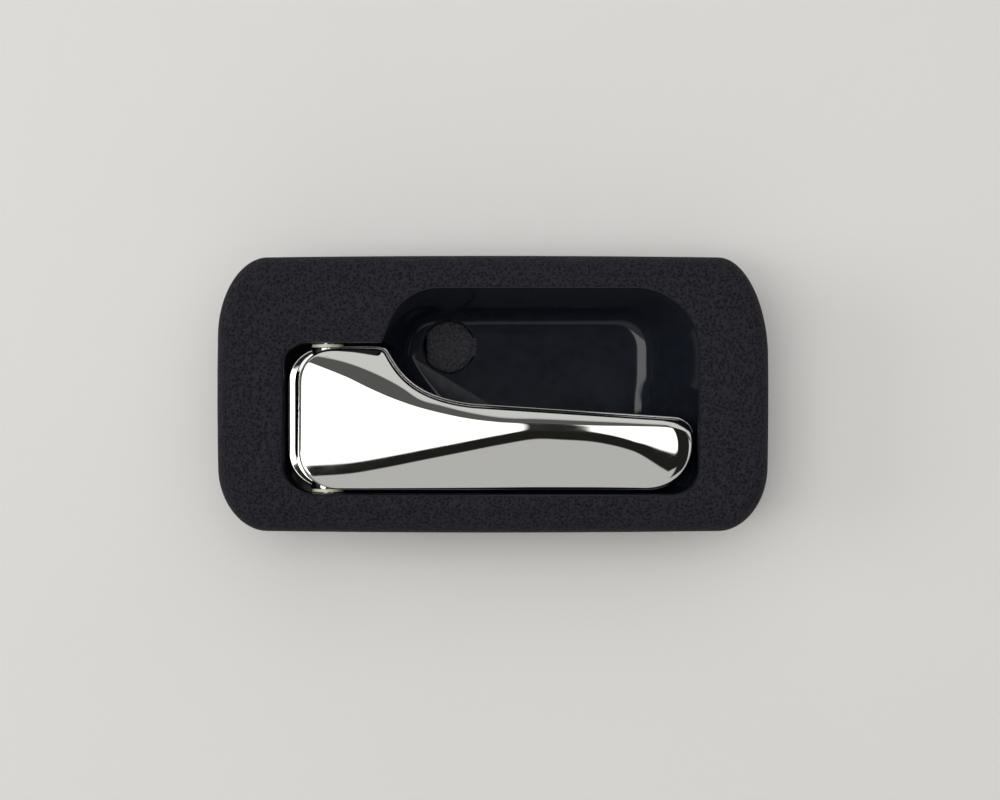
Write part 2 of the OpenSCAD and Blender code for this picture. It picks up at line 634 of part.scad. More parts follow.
module lever() {
    cells = concat([lever_x0 + lever_wall - rib_t / 2], lever_ribs, [lever_x1 - lever_wall + rib_t / 2]);
    color([0.8, 0.81, 0.83]) difference() {
        union() {
            difference() {
                union() {
                    lever_hull();
                    lever_hem();
                }
                for (i = [0:len(cells) - 2])
                    lever_cell(cells[i] + rib_t / 2, cells[i + 1] - rib_t / 2);
            }
            lever_back();
        }
        along_y(barrel_low - 1, barrel_top + 1) circle(pin_r + 0.6, $fn = 40);
        along_y(barrel_top - barrel_l - 1, barrel_top + 1) circle(barrel_bore, $fn = 48);
        along_y(barrel_low - 1, barrel_low + barrel_l) circle(barrel_bore, $fn = 48);
        along_y(barrel_top, barrel_top + 3) circle(flange_r + 0.5, $fn = 48);
        along_y(barrel_low - 3, barrel_low) circle(flange_r + 0.5, $fn = 48);
        along_y(crank_y - crank_t, crank_y + crank_t)
            translate([0, crank_l]) circle(spigot_r + run_gap, $fn = 48);
    }
}

// Steel pin with a low head, pushed down through both pocket walls
module pivot_pin() {
    color([0.62, 0.63, 0.66]) {
        along_y(pocket_low - boss_l[0] - retainer_t - 0.8, pocket_top + boss_l[1] + head_t / 2)
            circle(pin_r, $fn = 40);
        along_y(pocket_top + boss_l[1], pocket_top + boss_l[1] + head_t) circle(head_r, $fn = 40);
    }
}

// Push-on ring with toothed bore at the pin's lower end
module pin_retainer() {
    color([0.5, 0.51, 0.54]) along_y(pocket_low - boss_l[0] - retainer_t, pocket_low - boss_l[0])
        difference() {
            circle(retainer_r, $fn = 48);
            circle(pin_r + seat_gap / 2, $fn = 40);
            for (a = [0:60:300])
                rotate(a) translate([0, -0.3]) square([retainer_r - 0.6, 0.6]);
        }
}

// Flanged nylon bush, with its flange towards the pocket wall
module bush(end, flange) {
    color([0.88, 0.87, 0.82]) difference() {
        union() {
            along_y(min(end, end - flange * barrel_l), max(end, end - flange * barrel_l))
                circle(bush_r, $fn = 48);
            along_y(min(end, end + flange * flange_t), max(end, end + flange * flange_t))
                circle(flange_r, $fn = 48);
        }
        along_y(end - barrel_l - 2, end + barrel_l + 2) circle(pin_r + run_gap, $fn = 40);
    }
}
module bush_upper() {
    bush(barrel_top, 1);
}
module bush_lower() {
    bush(barrel_low, -1);
}

// Torsion spring round the pin: one leg on the crank's lug, one on the pocket floor
function spring_path() =
    let (turn = 360 * coils + 180, c = [-pivot_x, coil_y0, pivot_z],
        y1 = coil_pitch * turn / 360, leg_z = shelf_z + wire_d / 2 + 0.15)
    concat(
        [[c.x + coil_r, c.y, leg_z], [c.x + coil_r, c.y, mix(leg_z, c.z, 0.7)]],
        [for (a = [0:30:turn]) c + [coil_r * cos(a), coil_pitch * a / 360, coil_r * sin(a)]],
        [[c.x - coil_r, c.y + y1, mix(leg_z, c.z, 0.7)], [c.x - coil_r, c.y + y1, leg_z]]);
function tube_ring(path, i, r, sides) =
    let (n = len(path) - 1, t = path[min(i + 1, n)] - path[max(i - 1, 0)], u = t / norm(t),
        v = cross(u, [0, 1, 0]), a = v / norm(v), b = cross(u, a))
    [for (k = [0:sides - 1]) path[i]
        + r * (cos(360 * k / sides) * a - sin(360 * k / sides) * b)];
module return_spring() {
    path = spring_path();
    color([0.45, 0.46, 0.48])
        skin([for (i = [0:len(path) - 1]) tube_ring(path, i, wire_d / 2, 6)]);
}

// Rubber pad with a stem, pressed into its post
module rest_pad(y) {
    color([0.06, 0.06, 0.06]) translate([rib_x, y, 0]) {
        translate([0, 0, post_z]) cylinder(r = pad_r, h = pad_h, $fn = 40);
        translate([0, 0, shelf_z - wall - 0.8])
            cylinder(r = pad_stem_r, h = post_z + near - shelf_z + wall + 0.8, $fn = 32);
    }
}
module rest_pad_upper() {
    rest_pad(pad_y[0]);
}
module rest_pad_lower() {
    rest_pad(pad_y[1]);
}

// Rubber pad that grips the end of the crank slot
module open_stop_pad() {
    w = slot_y1 - slot_y0 - 0.6;
    color([0.06, 0.06, 0.06]) difference() {
        translate([stop_face_x, slot_y0 + 0.3, stop_low_z])
            cube([stop_lip + stop_grip, w, wall + 2 * stop_lip]);
        translate([slot_x1, slot_y0, shelf_z - wall])
            cube([stop_grip + 1, w + 1, wall]);
    }
}

// Nylon clip that turns in the crank's hole: the rod's bent end goes through
// its bore, and the saddle snaps over the rod's shank
clip_play = 0.15;
module rod_clip() {
    y0 = crank_y - crank_t / 2 - clip_play;
    y1 = crank_y + crank_t / 2 + clip_play;
    saddle_y = y1 + clip_head_t + rod_r + rod_gap;
    saddle_r = rod_r + rod_gap;
    color([0.9, 0.89, 0.85]) difference() {
        union() {
            along_y(y0, y1) translate([0, crank_l]) circle(spigot_r, $fn = 48);
            along_y(y0 - clip_head_t, y0) translate([0, crank_l]) circle(spigot_r + 1.1, $fn = 48);
            along_y(y1, y1 + clip_head_t) translate([0, crank_l]) {
                circle(spigot_r + 1.2, $fn = 48);
                translate([-saddle_l, -2.6]) square([saddle_l, 5.2]);
            }
            translate([rod_x - saddle_l, saddle_y, rod_z]) rotate([0, 90, 0])
                cylinder(r = saddle_r + 1.1, h = 4, $fn = 40);
        }
        along_y(y0 - clip_head_t - 1, y1 + clip_head_t + 1)
            translate([0, crank_l]) circle(rod_r + rod_gap, $fn = 40);
        translate([rod_x - saddle_l - 1, saddle_y, rod_z]) rotate([0, 90, 0])
            cylinder(r = saddle_r, h = 6, $fn = 40);
        translate([rod_x - saddle_l - 1, saddle_y + 0.5, rod_z - rod_r * 0.85])
            cube([6, saddle_r + 2, rod_r * 1.7]);
    }
}

// Snap cap over the fixing screw: a flat for prying, a key, and three legs
module screw_cap() {
    color([0.2, 0.2, 0.21]) translate([screw_x, screw_y, ledge_z]) {
        linear_extrude(cap_t) difference() {
            union() {
                circle(cap_r, $fn = 64);
                translate([0, -key_w / 2]) square([cap_r + key_l, key_w]);
            }
            translate([-2 * cap_r - chord_x, -cap_r]) square([2 * cap_r, 2 * cap_r]);
        }
        translate([0, 0, -snap_l]) linear_extrude(snap_l + near) difference() {
            circle(ledge_r - 0.15, $fn = 64);
            circle(ledge_r - 1.35, $fn = 64);
            for (a = [60:120:300])
                rotate(a) translate([0, -1.5]) square([cap_r, 3]);
        }
    }
}

// Spring-steel clip pushed on its rib, with a barb for the door panel's edge
function strip(path, t) =
    let (n = len(path) - 1, side = [for (i = [0:n])
        let (a = path[max(i - 1, 0)], b = path[i], c = path[min(i + 1, n)],
            u = i == 0 ? (c - b) / norm(c - b) : (b - a) / norm(b - a),
            v = i == n ? u : (c - b) / norm(c - b),
            m = [u.y + v.y, -u.x - v.x])
        t / 2 * m / (1 + u * v)])
    concat([for (i = [0:n]) path[i] + side[i]], [for (i = [n:-1:0]) path[i] - side[i]]);
module panel_clip() {
    d = clip_t / 2 + seat_gap;
    x0 = clip_rib[0] - d;
    x1 = clip_rib[1] + d;
    z0 = clip_rib_z - d;
    color([0.4, 0.41, 0.43]) translate([0, clip_rib_w / 2 - 2, 0]) rotate([90, 0, 0])
        linear_extrude(clip_rib_w - 4)
            polygon(strip([[x0, 1.5], [x0, z0], [x1, z0], [x1, -panel_t - 2.4],
                [x1 + 3.2, -panel_t - 0.5], [x1 + 1.2, 1.2]], clip_t));
}

bezel();
lever();
pivot_pin();
pin_retainer();
bush_upper();
bush_lower();
return_spring();
rest_pad_upper();
rest_pad_lower();
open_stop_pad();
rod_clip();
screw_cap();
panel_clip();
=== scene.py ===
"""Looks of a car interior door handle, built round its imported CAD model.

Sizes are in millimetres in the classes below and become metres in the meshes. X runs
along the handle towards the lever's free end, Y is up on the door, Z comes out of the
panel. Z = 0 is the plane of the door panel.
"""

import logging
import math
from collections.abc import Callable, Iterable, Sequence
from dataclasses import dataclass
from enum import Enum

import bmesh
import bpy
import numpy as np
from mathutils import Matrix, Vector


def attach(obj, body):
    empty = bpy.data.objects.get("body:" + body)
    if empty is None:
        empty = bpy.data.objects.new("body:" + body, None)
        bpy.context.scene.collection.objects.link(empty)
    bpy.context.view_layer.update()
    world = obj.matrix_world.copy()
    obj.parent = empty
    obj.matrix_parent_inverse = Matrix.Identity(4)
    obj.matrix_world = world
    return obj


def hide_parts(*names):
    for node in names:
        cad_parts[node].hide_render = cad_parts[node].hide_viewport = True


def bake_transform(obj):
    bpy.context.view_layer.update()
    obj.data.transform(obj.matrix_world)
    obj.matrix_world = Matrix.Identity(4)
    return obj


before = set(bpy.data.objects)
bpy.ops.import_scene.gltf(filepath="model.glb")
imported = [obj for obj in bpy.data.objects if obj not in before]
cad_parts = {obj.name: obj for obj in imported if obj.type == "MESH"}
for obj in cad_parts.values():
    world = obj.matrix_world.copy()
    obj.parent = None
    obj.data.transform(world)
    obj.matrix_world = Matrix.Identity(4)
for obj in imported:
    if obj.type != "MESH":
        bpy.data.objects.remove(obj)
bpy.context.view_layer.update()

log = logging.getLogger("door_handle")
MM = 0.001
TINY = 1e-6
Points = np.ndarray
Corners = Sequence[tuple[float, float]]
Mesh = bmesh.types.BMesh
Verts = list[bmesh.types.BMVert]

# The pin's axis and radius, the crank's middle plane and its slot in the pocket floor
PIVOT_X = -45.0
PIVOT_Z = 2.6
PIN_RADIUS = 2.0
CRANK_Y = -17.8
SLOT_X = (-50.5, -28.5)
SLOT_Y = (-20.4, -13.1)


class Body(Enum):
    """The bodies of the CAD model that pieces ride on."""

    BEZEL = "bezel"
    LEVER = "lever"
    ROD_CLIP = "rod_clip"


class Slot(Enum):
    """The record's material slots."""

    BEZEL_PLASTIC = "bezel_plastic"
    LEVER_CHROME = "lever_chrome"
    PIN_STEEL = "pin_steel"
    SPRING_STEEL = "spring_steel"
    NYLON = "nylon"
    PAD_RUBBER = "pad_rubber"
    CAP_PLASTIC = "cap_plastic"


# Colour and nodes


def linear(hex_colour: str) -> tuple[float, float, float, float]:
    """Turn an sRGB hex colour to linear RGBA.

    Args:
        hex_colour: six hex digits.

    Returns:
        Red, green, blue and an alpha of 1.
    """
    parts = [int(hex_colour[i : i + 2], 16) / 255 for i in (0, 2, 4)]
    low = [c / 12.92 if c <= 0.04045 else ((c + 0.055) / 1.055) ** 2.4 for c in parts]
    return (low[0], low[1], low[2], 1.0)


def feed(tree: bpy.types.NodeTree, node: bpy.types.Node, sockets: dict[str | int, object]) -> None:
    """Set a node's inputs to values, or link those that are given an output socket."""
    for name, value in sockets.items():
        if isinstance(value, bpy.types.NodeSocket):
            tree.links.new(value, node.inputs[name])
        else:
            node.inputs[name].default_value = value


def add_node(tree: bpy.types.NodeTree, kind: str, sockets: dict[str | int, object] | None = None,
             **settings: object) -> bpy.types.Node:
    """Add a node with its settings, values and links.

    Args:
        tree: node tree that gets the node.
        kind: Blender's name of the node type, without the ShaderNode in front.
        sockets: values of its inputs, or output sockets that feed them.
        settings: attributes of the node.

    Returns:
        The new node.
    """
    node = tree.nodes.new("ShaderNode" + kind)
    for name, value in settings.items():
        setattr(node, name, value)
    feed(tree, node, sockets or {})
    return node


@dataclass(frozen=True)
class Moulded:
    """Moulded ABS: a dark plastic whose tool texture breaks up its gloss.

    The grain is a leather pattern of small cells, which gives the eye a soft, broken
    sheen. A satin tool face has no cells, only a faint waviness. The base colour is
    mixed by the same height as the bump: painted shade in the hollows, the lighter
    colour on the tops.
    """

    name: str
    colour: str
    # Painted shade: the dark tone that the grain's hollows get
    shade: str
    roughness: float
    gloss: float
    grain: float
    grain_depth: float
    fleck: float = 0.5
    patch: float = 9.0
    patch_change: float = 0.05

    def build(self) -> bpy.types.Material:
        """Return the node material."""
        material, tree, shader = blank_material(self.name)
        place = add_node(tree, "TexCoord").outputs["Object"]
        patch = add_node(tree, "TexNoise", {"Vector": place, "Scale": 1 / (self.patch * MM), "Detail": 4.0})
        fleck = add_node(tree, "TexNoise", {"Vector": place, "Scale": 1 / (self.fleck * MM), "Detail": 2.0})
        leather = {"Vector": place, "Scale": 1 / (self.grain * MM), "Smoothness": 0.6}
        cells = add_node(tree, "TexVoronoi", leather, feature="SMOOTH_F1")
        height = {0: fleck.outputs["Fac"], 1: 0.5, 2: cells.outputs["Distance"]}
        relief = add_node(tree, "Math", height, operation="MULTIPLY_ADD").outputs[0]
        # Painted shade: the grain's height picks the tone, dark in its hollows and light on its tops
        painted_shade_mask = add_node(tree, "MapRange", {"Value": relief, "From Min": 0.35, "From Max": 0.85})
        tones = {0: painted_shade_mask.outputs[0], 6: linear(self.shade), 7: linear(self.colour)}
        rough = add_node(tree, "MapRange", {
            "Value": patch.outputs["Fac"],
            "To Min": self.roughness - self.patch_change, "To Max": self.roughness + self.patch_change,
        })
        bump = add_node(tree, "Bump", {"Height": relief, "Distance": self.grain_depth * MM, "Strength": 1.0})
        feed(tree, shader, {
            "Base Color": add_node(tree, "Mix", tones, data_type="RGBA").outputs[2],
            "Roughness": rough.outputs[0],
            "Specular IOR Level": self.gloss,
            "Normal": bump.outputs[0],
        })
        return material


@dataclass(frozen=True)
class Metal:
    """Metal or plated metal: a mirror whose haze and marks come from its making."""

    name: str
    colour: str
    roughness: float
    haze: float
    haze_size: float
    wave: float
    wave_size: float
    stretch: tuple[float, float, float] = (1.0, 1.0, 1.0)

    def build(self) -> bpy.types.Material:
        """Return the node material."""
        material, tree, shader = blank_material(self.name)
        place = add_node(tree, "TexCoord").outputs["Object"]
        along = add_node(tree, "Mapping", {"Vector": place, "Scale": self.stretch}).outputs[0]
        haze = {"Vector": along, "Scale": 1 / (self.haze_size * MM), "Detail": 5.0}
        smear = add_node(tree, "TexNoise", haze)
        rough = add_node(tree, "MapRange", {
            "Value": smear.outputs["Fac"], "From Min": 0.4, "From Max": 0.75,
            "To Min": self.roughness, "To Max": self.roughness + self.haze,
        })
        swell = {"Vector": place, "Scale": 1 / (self.wave_size * MM), "Detail": 1.0}
        wave = add_node(tree, "TexNoise", swell)
        bump = add_node(tree, "Bump", {
            "Height": wave.outputs["Fac"], "Distance": self.wave * MM, "Strength": 1.0,
        })
        feed(tree, shader, {
            "Base Color": linear(self.colour),
            "Metallic": 1.0,
            "Roughness": rough.outputs[0],
            "Normal": bump.outputs[0],
        })
        return material


@dataclass(frozen=True)
class Soft:
    """Nylon or rubber: an even material with a fine matt skin."""

    name: str
    colour: str
    shade: str
    roughness: float
    glow: float
    bloom: float = 2.5
    skin: float = 0.25
    skin_depth: float = 0.02
    glow_depth: float = 1.5

    def build(self) -> bpy.types.Material:
        """Return the node material."""
        material, tree, shader = blank_material(self.name)
        place = add_node(tree, "TexCoord").outputs["Object"]
        bloom = add_node(tree, "TexNoise", {"Vector": place, "Scale": 1 / (self.bloom * MM), "Detail": 4.0})
        tones = {0: bloom.outputs["Fac"], 6: linear(self.shade), 7: linear(self.colour)}
        skin = add_node(tree, "TexNoise", {"Vector": place, "Scale": 1 / (self.skin * MM), "Detail": 2.0})
        bump = add_node(tree, "Bump", {
            "Height": skin.outputs["Fac"], "Distance": self.skin_depth * MM, "Strength": 1.0,
        })
        feed(tree, shader, {
            "Base Color": add_node(tree, "Mix", tones, data_type="RGBA").outputs[2],
            "Normal": bump.outputs[0],
            "Roughness": self.roughness,
            "Subsurface Weight": self.glow,
            "Subsurface Scale": self.glow_depth * MM,
        })
        return material


def blank_material(name: str) -> tuple[bpy.types.Material, bpy.types.NodeTree, bpy.types.Node]:
    """Return a new material, its node tree and its Principled shader."""
    material = bpy.data.materials.new(name)
    material.use_nodes = True
    return material, material.node_tree, material.node_tree.nodes["Principled BSDF"]


class Finish(Enum):
    """Every finish on the handle, named after the real material."""

    # In each moulded finish the second colour is painted shade for the hollows of its grain
    GRAINED_ABS = Moulded("grained_abs", "222127", "09080c", 0.68, 0.08, 0.75, 0.5)
    SATIN_ABS = Moulded("satin_abs", "15181f", "11141a", 0.11, 0.28, 3.0, 0.006)
    CAP_ABS = Moulded("cap_abs", "25252b", "0f0f14", 0.5, 0.18, 0.7, 0.26)
    CHROME_PLATE = Metal("chrome_plate", "d2d3d2", 0.025, 0.05, 7.0, 0.0015, 6.0)
    ZINC_PLATE = Metal("zinc_plate", "b4b5b8", 0.24, 0.16, 1.2, 0.02, 0.8)
    SPRING_STEEL = Metal("spring_steel", "7d7f83", 0.28, 0.2, 0.8, 0.02, 0.4, (0.3, 1.0, 1.0))
    NYLON = Soft("natural_nylon", "dcd8c8", "cfcab8", 0.42, 0.25)
    RUBBER = Soft("black_rubber", "191919", "111111", 0.75, 0.0)


MATERIALS: dict[Finish, bpy.types.Material] = {f: f.value.build() for f in Finish}


# Plane curves, in millimetres


def mix(a: Points, b: Points, t: float | Points) -> Points:
    """Return the point or value at share t from a to b."""
    return a + (b - a) * t


def smooth(t: float) -> float:
    """Return the smooth step of t between 0 and 1."""
    u = min(max(t, 0.0), 1.0)
    return u * u * (3 - 2 * u)


def bezier(a: Points, b: Points, c: Points, t: float) -> Points:
    """Return the point of a quadratic curve at t."""
    return (1 - t) ** 2 * a + 2 * t * (1 - t) * b + t * t * c


def arc(centre: Points, size: float | Points, start: float, end: float, n: int) -> Points:
    """Return n + 1 points on a round or oval arc, from angle start to end in degrees."""
    a = np.radians(np.linspace(start, end, n + 1))
    return centre + size * np.stack([np.cos(a), np.sin(a)], 1)


def run(p: Sequence[float], q: Sequence[float], n: int) -> Points:
    """Return n + 1 points on the line from p to q."""
    return np.linspace(np.array(p, float), np.array(q, float), n + 1)


def round_corner(a: Points, b: Points, c: Points, radius: float, n: int) -> Points:
    """Return the arc that rounds corner b of the lines a to b and b to c."""
    a, b, c = (np.array(p, float) for p in (a, b, c))
    u, v = (a - b) / np.linalg.norm(a - b), (c - b) / np.linalg.norm(c - b)
    half = math.acos(float(np.dot(u, v))) / 2
    centre = b + (u + v) / np.linalg.norm(u + v) * radius / math.sin(half)
    p, q = b + u * radius / math.tan(half), b + v * radius / math.tan(half)
    start = math.degrees(math.atan2(*(p - centre)[::-1]))
    end = math.degrees(math.atan2(*(q - centre)[::-1]))
    turn = (end - start + 180) % 360 - 180
    return arc(centre, radius, start, start + turn, n)


def lift(ring: Points, z: float | Points) -> Points:
    """Return a plane ring at height z as points in space."""
    return np.column_stack([ring, np.broadcast_to(z, len(ring))])


def outward(ring: Points) -> Points:
    """Return the outward directions at the points of a ring that runs anticlockwise."""
    along = np.roll(ring, -1, 0) - np.roll(ring, 1, 0)
    along /= np.linalg.norm(along, axis=1)[:, None]
    return np.stack([along[:, 1], -along[:, 0]], 1)


# Mesh helpers


def sweep(mesh: Mesh, rings: Sequence[Points], slots: Sequence[int] | None = None,
          start: Verts | None = None) -> tuple[Verts, Verts]:
    """Extrude a loop of edges through a list of rings.

    Args:
        mesh: mesh that gets the faces.
        rings: rings of as many points, each an array of places in space.
        slots: material index of each band between two rings, or None for 0 on all.
        start: loop to go on from, which stands for the first ring.

    Returns:
        The vertices of the first and of the last ring, in order.
    """
    if start is None:
        circle = bmesh.ops.create_circle(mesh, segments=len(rings[0]), radius=1.0)["verts"]
        start = sorted(circle, key=lambda v: math.atan2(v.co.y, v.co.x))
        for vert, place in zip(start, rings[0]):
            vert.co = place
    loop = start
    for ring, slot in zip(rings[1:], slots or [0] * len(rings)):
        edges = [mesh.edges.get((a, b)) for a, b in zip(loop, loop[1:] + loop[:1])]
        new = bmesh.ops.extrude_edge_only(mesh, edges=edges)["geom"]
        fresh = {v for v in new if isinstance(v, bmesh.types.BMVert)}
        loop = [next(w for w in (e.other_vert(v) for e in v.link_edges) if w in fresh) for v in loop]
        for vert, place in zip(loop, ring):
            vert.co = place
            for face in vert.link_faces:
                face.material_index = slot
    return start, loop


def solid(mesh: Mesh, rings: Sequence[Points]) -> None:
    """Sweep a loop of edges through a list of rings and close both ends."""
    for loop in sweep(mesh, rings):
        mesh.faces.new(loop)
    bmesh.ops.recalc_face_normals(mesh, faces=mesh.faces)


def lathe(mesh: Mesh, profile: Corners, place: Matrix, steps: int = 64) -> None:
    """Spin a closed profile of radius and height round the Z axis and place it.

    Args:
        mesh: mesh that gets the solid.
        profile: corners as radius and height, none of them below a radius of 0.
        place: where the solid goes.
        steps: number of steps round the axis.
    """
    verts = [mesh.verts.new((r, 0.0, h)) for r, h in profile]
    edges = [mesh.edges.new(ends) for ends in zip(verts, verts[1:] + verts[:1])
             if max(v.co.x for v in ends) > TINY]
    bmesh.ops.spin(mesh, geom=verts + edges, cent=(0, 0, 0), axis=(0, 0, 1), angle=math.tau, steps=steps,
                   use_merge=True)
    group = island(verts[0])
    bmesh.ops.remove_doubles(mesh, verts=group, dist=1e-5)
    group = island(next(v for v in group if v.is_valid))
    faces = list({f for v in group for f in v.link_faces})
    bmesh.ops.recalc_face_normals(mesh, faces=faces)
    bmesh.ops.transform(mesh, matrix=place, verts=group)


def island(seed: bmesh.types.BMVert) -> Verts:
    """Return all vertices that are joined to seed by edges."""
    found, todo = {seed}, [seed]
    while todo:
        for edge in todo.pop().link_edges:
            for vert in edge.verts:
                if vert not in found:
                    found.add(vert)
                    todo.append(vert)
    return list(found)


def soften(profile: Corners, radius: float, n: int = 3) -> list[tuple[float, float]]:
    """Round the corners of a closed profile, except those on the axis.

    Args:
        profile: corners in order.
        radius: radius of the rounding.
        n: number of steps on each corner.

    Returns:
        The points of the rounded profile.
    """
    out: list[tuple[float, float]] = []
    for i, corner in enumerate(profile):
        if corner[0] < TINY:
            out.append(corner)
            continue
        a, b, c = (np.array(p, float) for p in (profile[i - 1], corner, profile[(i + 1) % len(profile)]))
        before, after = np.linalg.norm(a - b), np.linalg.norm(c - b)
        cut = min(radius, 0.45 * min(before, after))
        u, v = (a - b) / before * cut, (c - b) / after * cut
        out += [tuple(bezier(b + u, b, b + v, t)) for t in np.linspace(0, 1, n + 1)]
    return out


def bevel(mesh: Mesh, edges: Iterable[bmesh.types.BMEdge], width: float) -> None:
    """Bevel edges in two steps."""
    bmesh.ops.bevel(mesh, geom=list(set(edges)), offset=width, affect="EDGES", segments=2, profile=0.5,
                    material=-1, clamp_overlap=True)


def plate(mesh: Mesh, outline: Corners, thickness: float, place: Matrix, edge: float = 0.25) -> None:
    """Extrude a plane outline upwards to a plate with softened edges.

    Args:
        mesh: mesh that gets the solid.
        outline: corners in X and Y.
        thickness: height of the plate.
        place: where the plate goes.
        edge: width of the bevel along both rims.
    """
    face = mesh.faces.new([mesh.verts.new((x, y, 0.0)) for x, y in outline])
    base = list(face.verts)
    top = bmesh.ops.extrude_face_region(mesh, geom=[face])["geom"]
    raised = [v for v in top if isinstance(v, bmesh.types.BMVert)]
    bmesh.ops.translate(mesh, vec=(0, 0, thickness), verts=raised)
    bmesh.ops.transform(mesh, matrix=place, verts=base + raised)
    faces = list({f for v in base + raised for f in v.link_faces})
    bmesh.ops.recalc_face_normals(mesh, faces=faces)
    bevel(mesh, (e for f in faces if len(f.verts) != 4 or len(base) == 4 for e in f.edges), edge)


def rod(mesh: Mesh, radius: float, low: float, high: float, place: Matrix, steps: int = 64) -> None:
    """Add a round bar between two heights on the Z axis of its place."""
    lathe(mesh, [(0.0, low), (radius, low), (radius, high), (0.0, high)], place, steps)


def tube(mesh: Mesh, outer: float, inner: float, low: float, high: float, place: Matrix,
         edge: float = 0.25, steps: int = 64) -> None:
    """Add a round tube between two heights on the Z axis of its place."""
    lathe(mesh, soften([(inner, low), (outer, low), (outer, high), (inner, high)], edge), place, steps)


def block(mesh: Mesh, low: Sequence[float], high: Sequence[float], edge: float = 0.25) -> None:
    """Add a box between two corners, with softened edges."""
    size = [b - a for a, b in zip(low, high)]
    middle = [(a + b) / 2 for a, b in zip(low, high)]
    place = Matrix.Translation(middle) @ Matrix.Diagonal((*size, 1))
    cube = bmesh.ops.create_cube(mesh, size=1.0, matrix=place)
    bevel(mesh, (e for v in cube["verts"] for e in v.link_edges), edge)


def along_y(y: float, x: float = 0.0, z: float = 0.0) -> Matrix:
    """Return the place of a solid whose own Z axis points along +Y from y."""
    return Matrix.Translation((x, y, z)) @ Matrix.Rotation(math.radians(-90), 4, "X")


def along_pin(y: float) -> Matrix:
    """Return the place of a solid on the pin's axis, which rises from y."""
    return along_y(y, PIVOT_X, PIVOT_Z)


def show(name: str, data: bpy.types.ID) -> bpy.types.Object:
    """Return a new object in the scene for a mesh, a lamp or a camera."""
    made = bpy.data.objects.new(name, data)
    bpy.context.scene.collection.objects.link(made)
    return made


def show_mesh(name: str, mesh: Mesh) -> bpy.types.Object:
    """Return a new object in the scene for a mesh in metres, which is freed."""
    data = bpy.data.meshes.new(name)
    mesh.to_mesh(data)
    mesh.free()
    return show(name, data)


def publish(name: str, mesh: Mesh, body: Body | None, finishes: Sequence[Finish],
            stands_for: Sequence[str] = (), sharp: float = 35.0) -> bpy.types.Object:
    """Turn a mesh in millimetres to a finished piece.

    Args:
        name: name of the piece.
        mesh: its mesh, which is freed.
        body: body that carries it, or None for a piece that bends between two.
        finishes: finish of each material index.
        stands_for: CAD nodes that the piece replaces.
        sharp: angle in degrees past which an edge stays sharp.

    Returns:
        The new object.
    """
    bmesh.ops.scale(mesh, vec=(MM, MM, MM), verts=mesh.verts)
    limit = math.radians(sharp)
    for edge in mesh.edges:
        edge.smooth = edge.calc_face_angle(math.pi) < limit
    for face in mesh.faces:
        face.smooth = True
    piece = show_mesh(name, mesh)
    for finish in finishes:
        piece.data.materials.append(MATERIALS[finish])
    if body is not None:
        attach(piece, body.value)
    if stands_for:
        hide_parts(*stands_for)
    log.info("%s: %d faces", name, len(piece.data.polygons))
    return piece


def cut_away(piece: bpy.types.Object, cutter: Mesh) -> None:
    """Cut a mesh in millimetres out of a piece and apply the result."""
    bmesh.ops.scale(cutter, vec=(MM, MM, MM), verts=cutter.verts)
    tool = show_mesh("cutter", cutter)
    cut = piece.modifiers.new("cut", "BOOLEAN")
    cut.operation = "DIFFERENCE"
    cut.solver = "EXACT"
    cut.object = tool
    bpy.context.view_layer.update()
    view = bpy.context.evaluated_depsgraph_get()
    result = bpy.data.meshes.new_from_object(piece.evaluated_get(view))
    piece.modifiers.clear()
    piece.data = result
    bpy.data.objects.remove(tool)


# Bezel


# Coarse steps on the parts of the outline and of the opening
STEPS = (8, 4, 8, 2, 8, 8, 3, 8, 2)


class Zone(Enum):
    """Stretches of the basin's wall: where its slope bends, and how far the bend is drawn out."""

    POCKET = (0.62, 0.9)
    BESIDE = (0.8, 0.9)
    CUP = (0.64, 0.4)


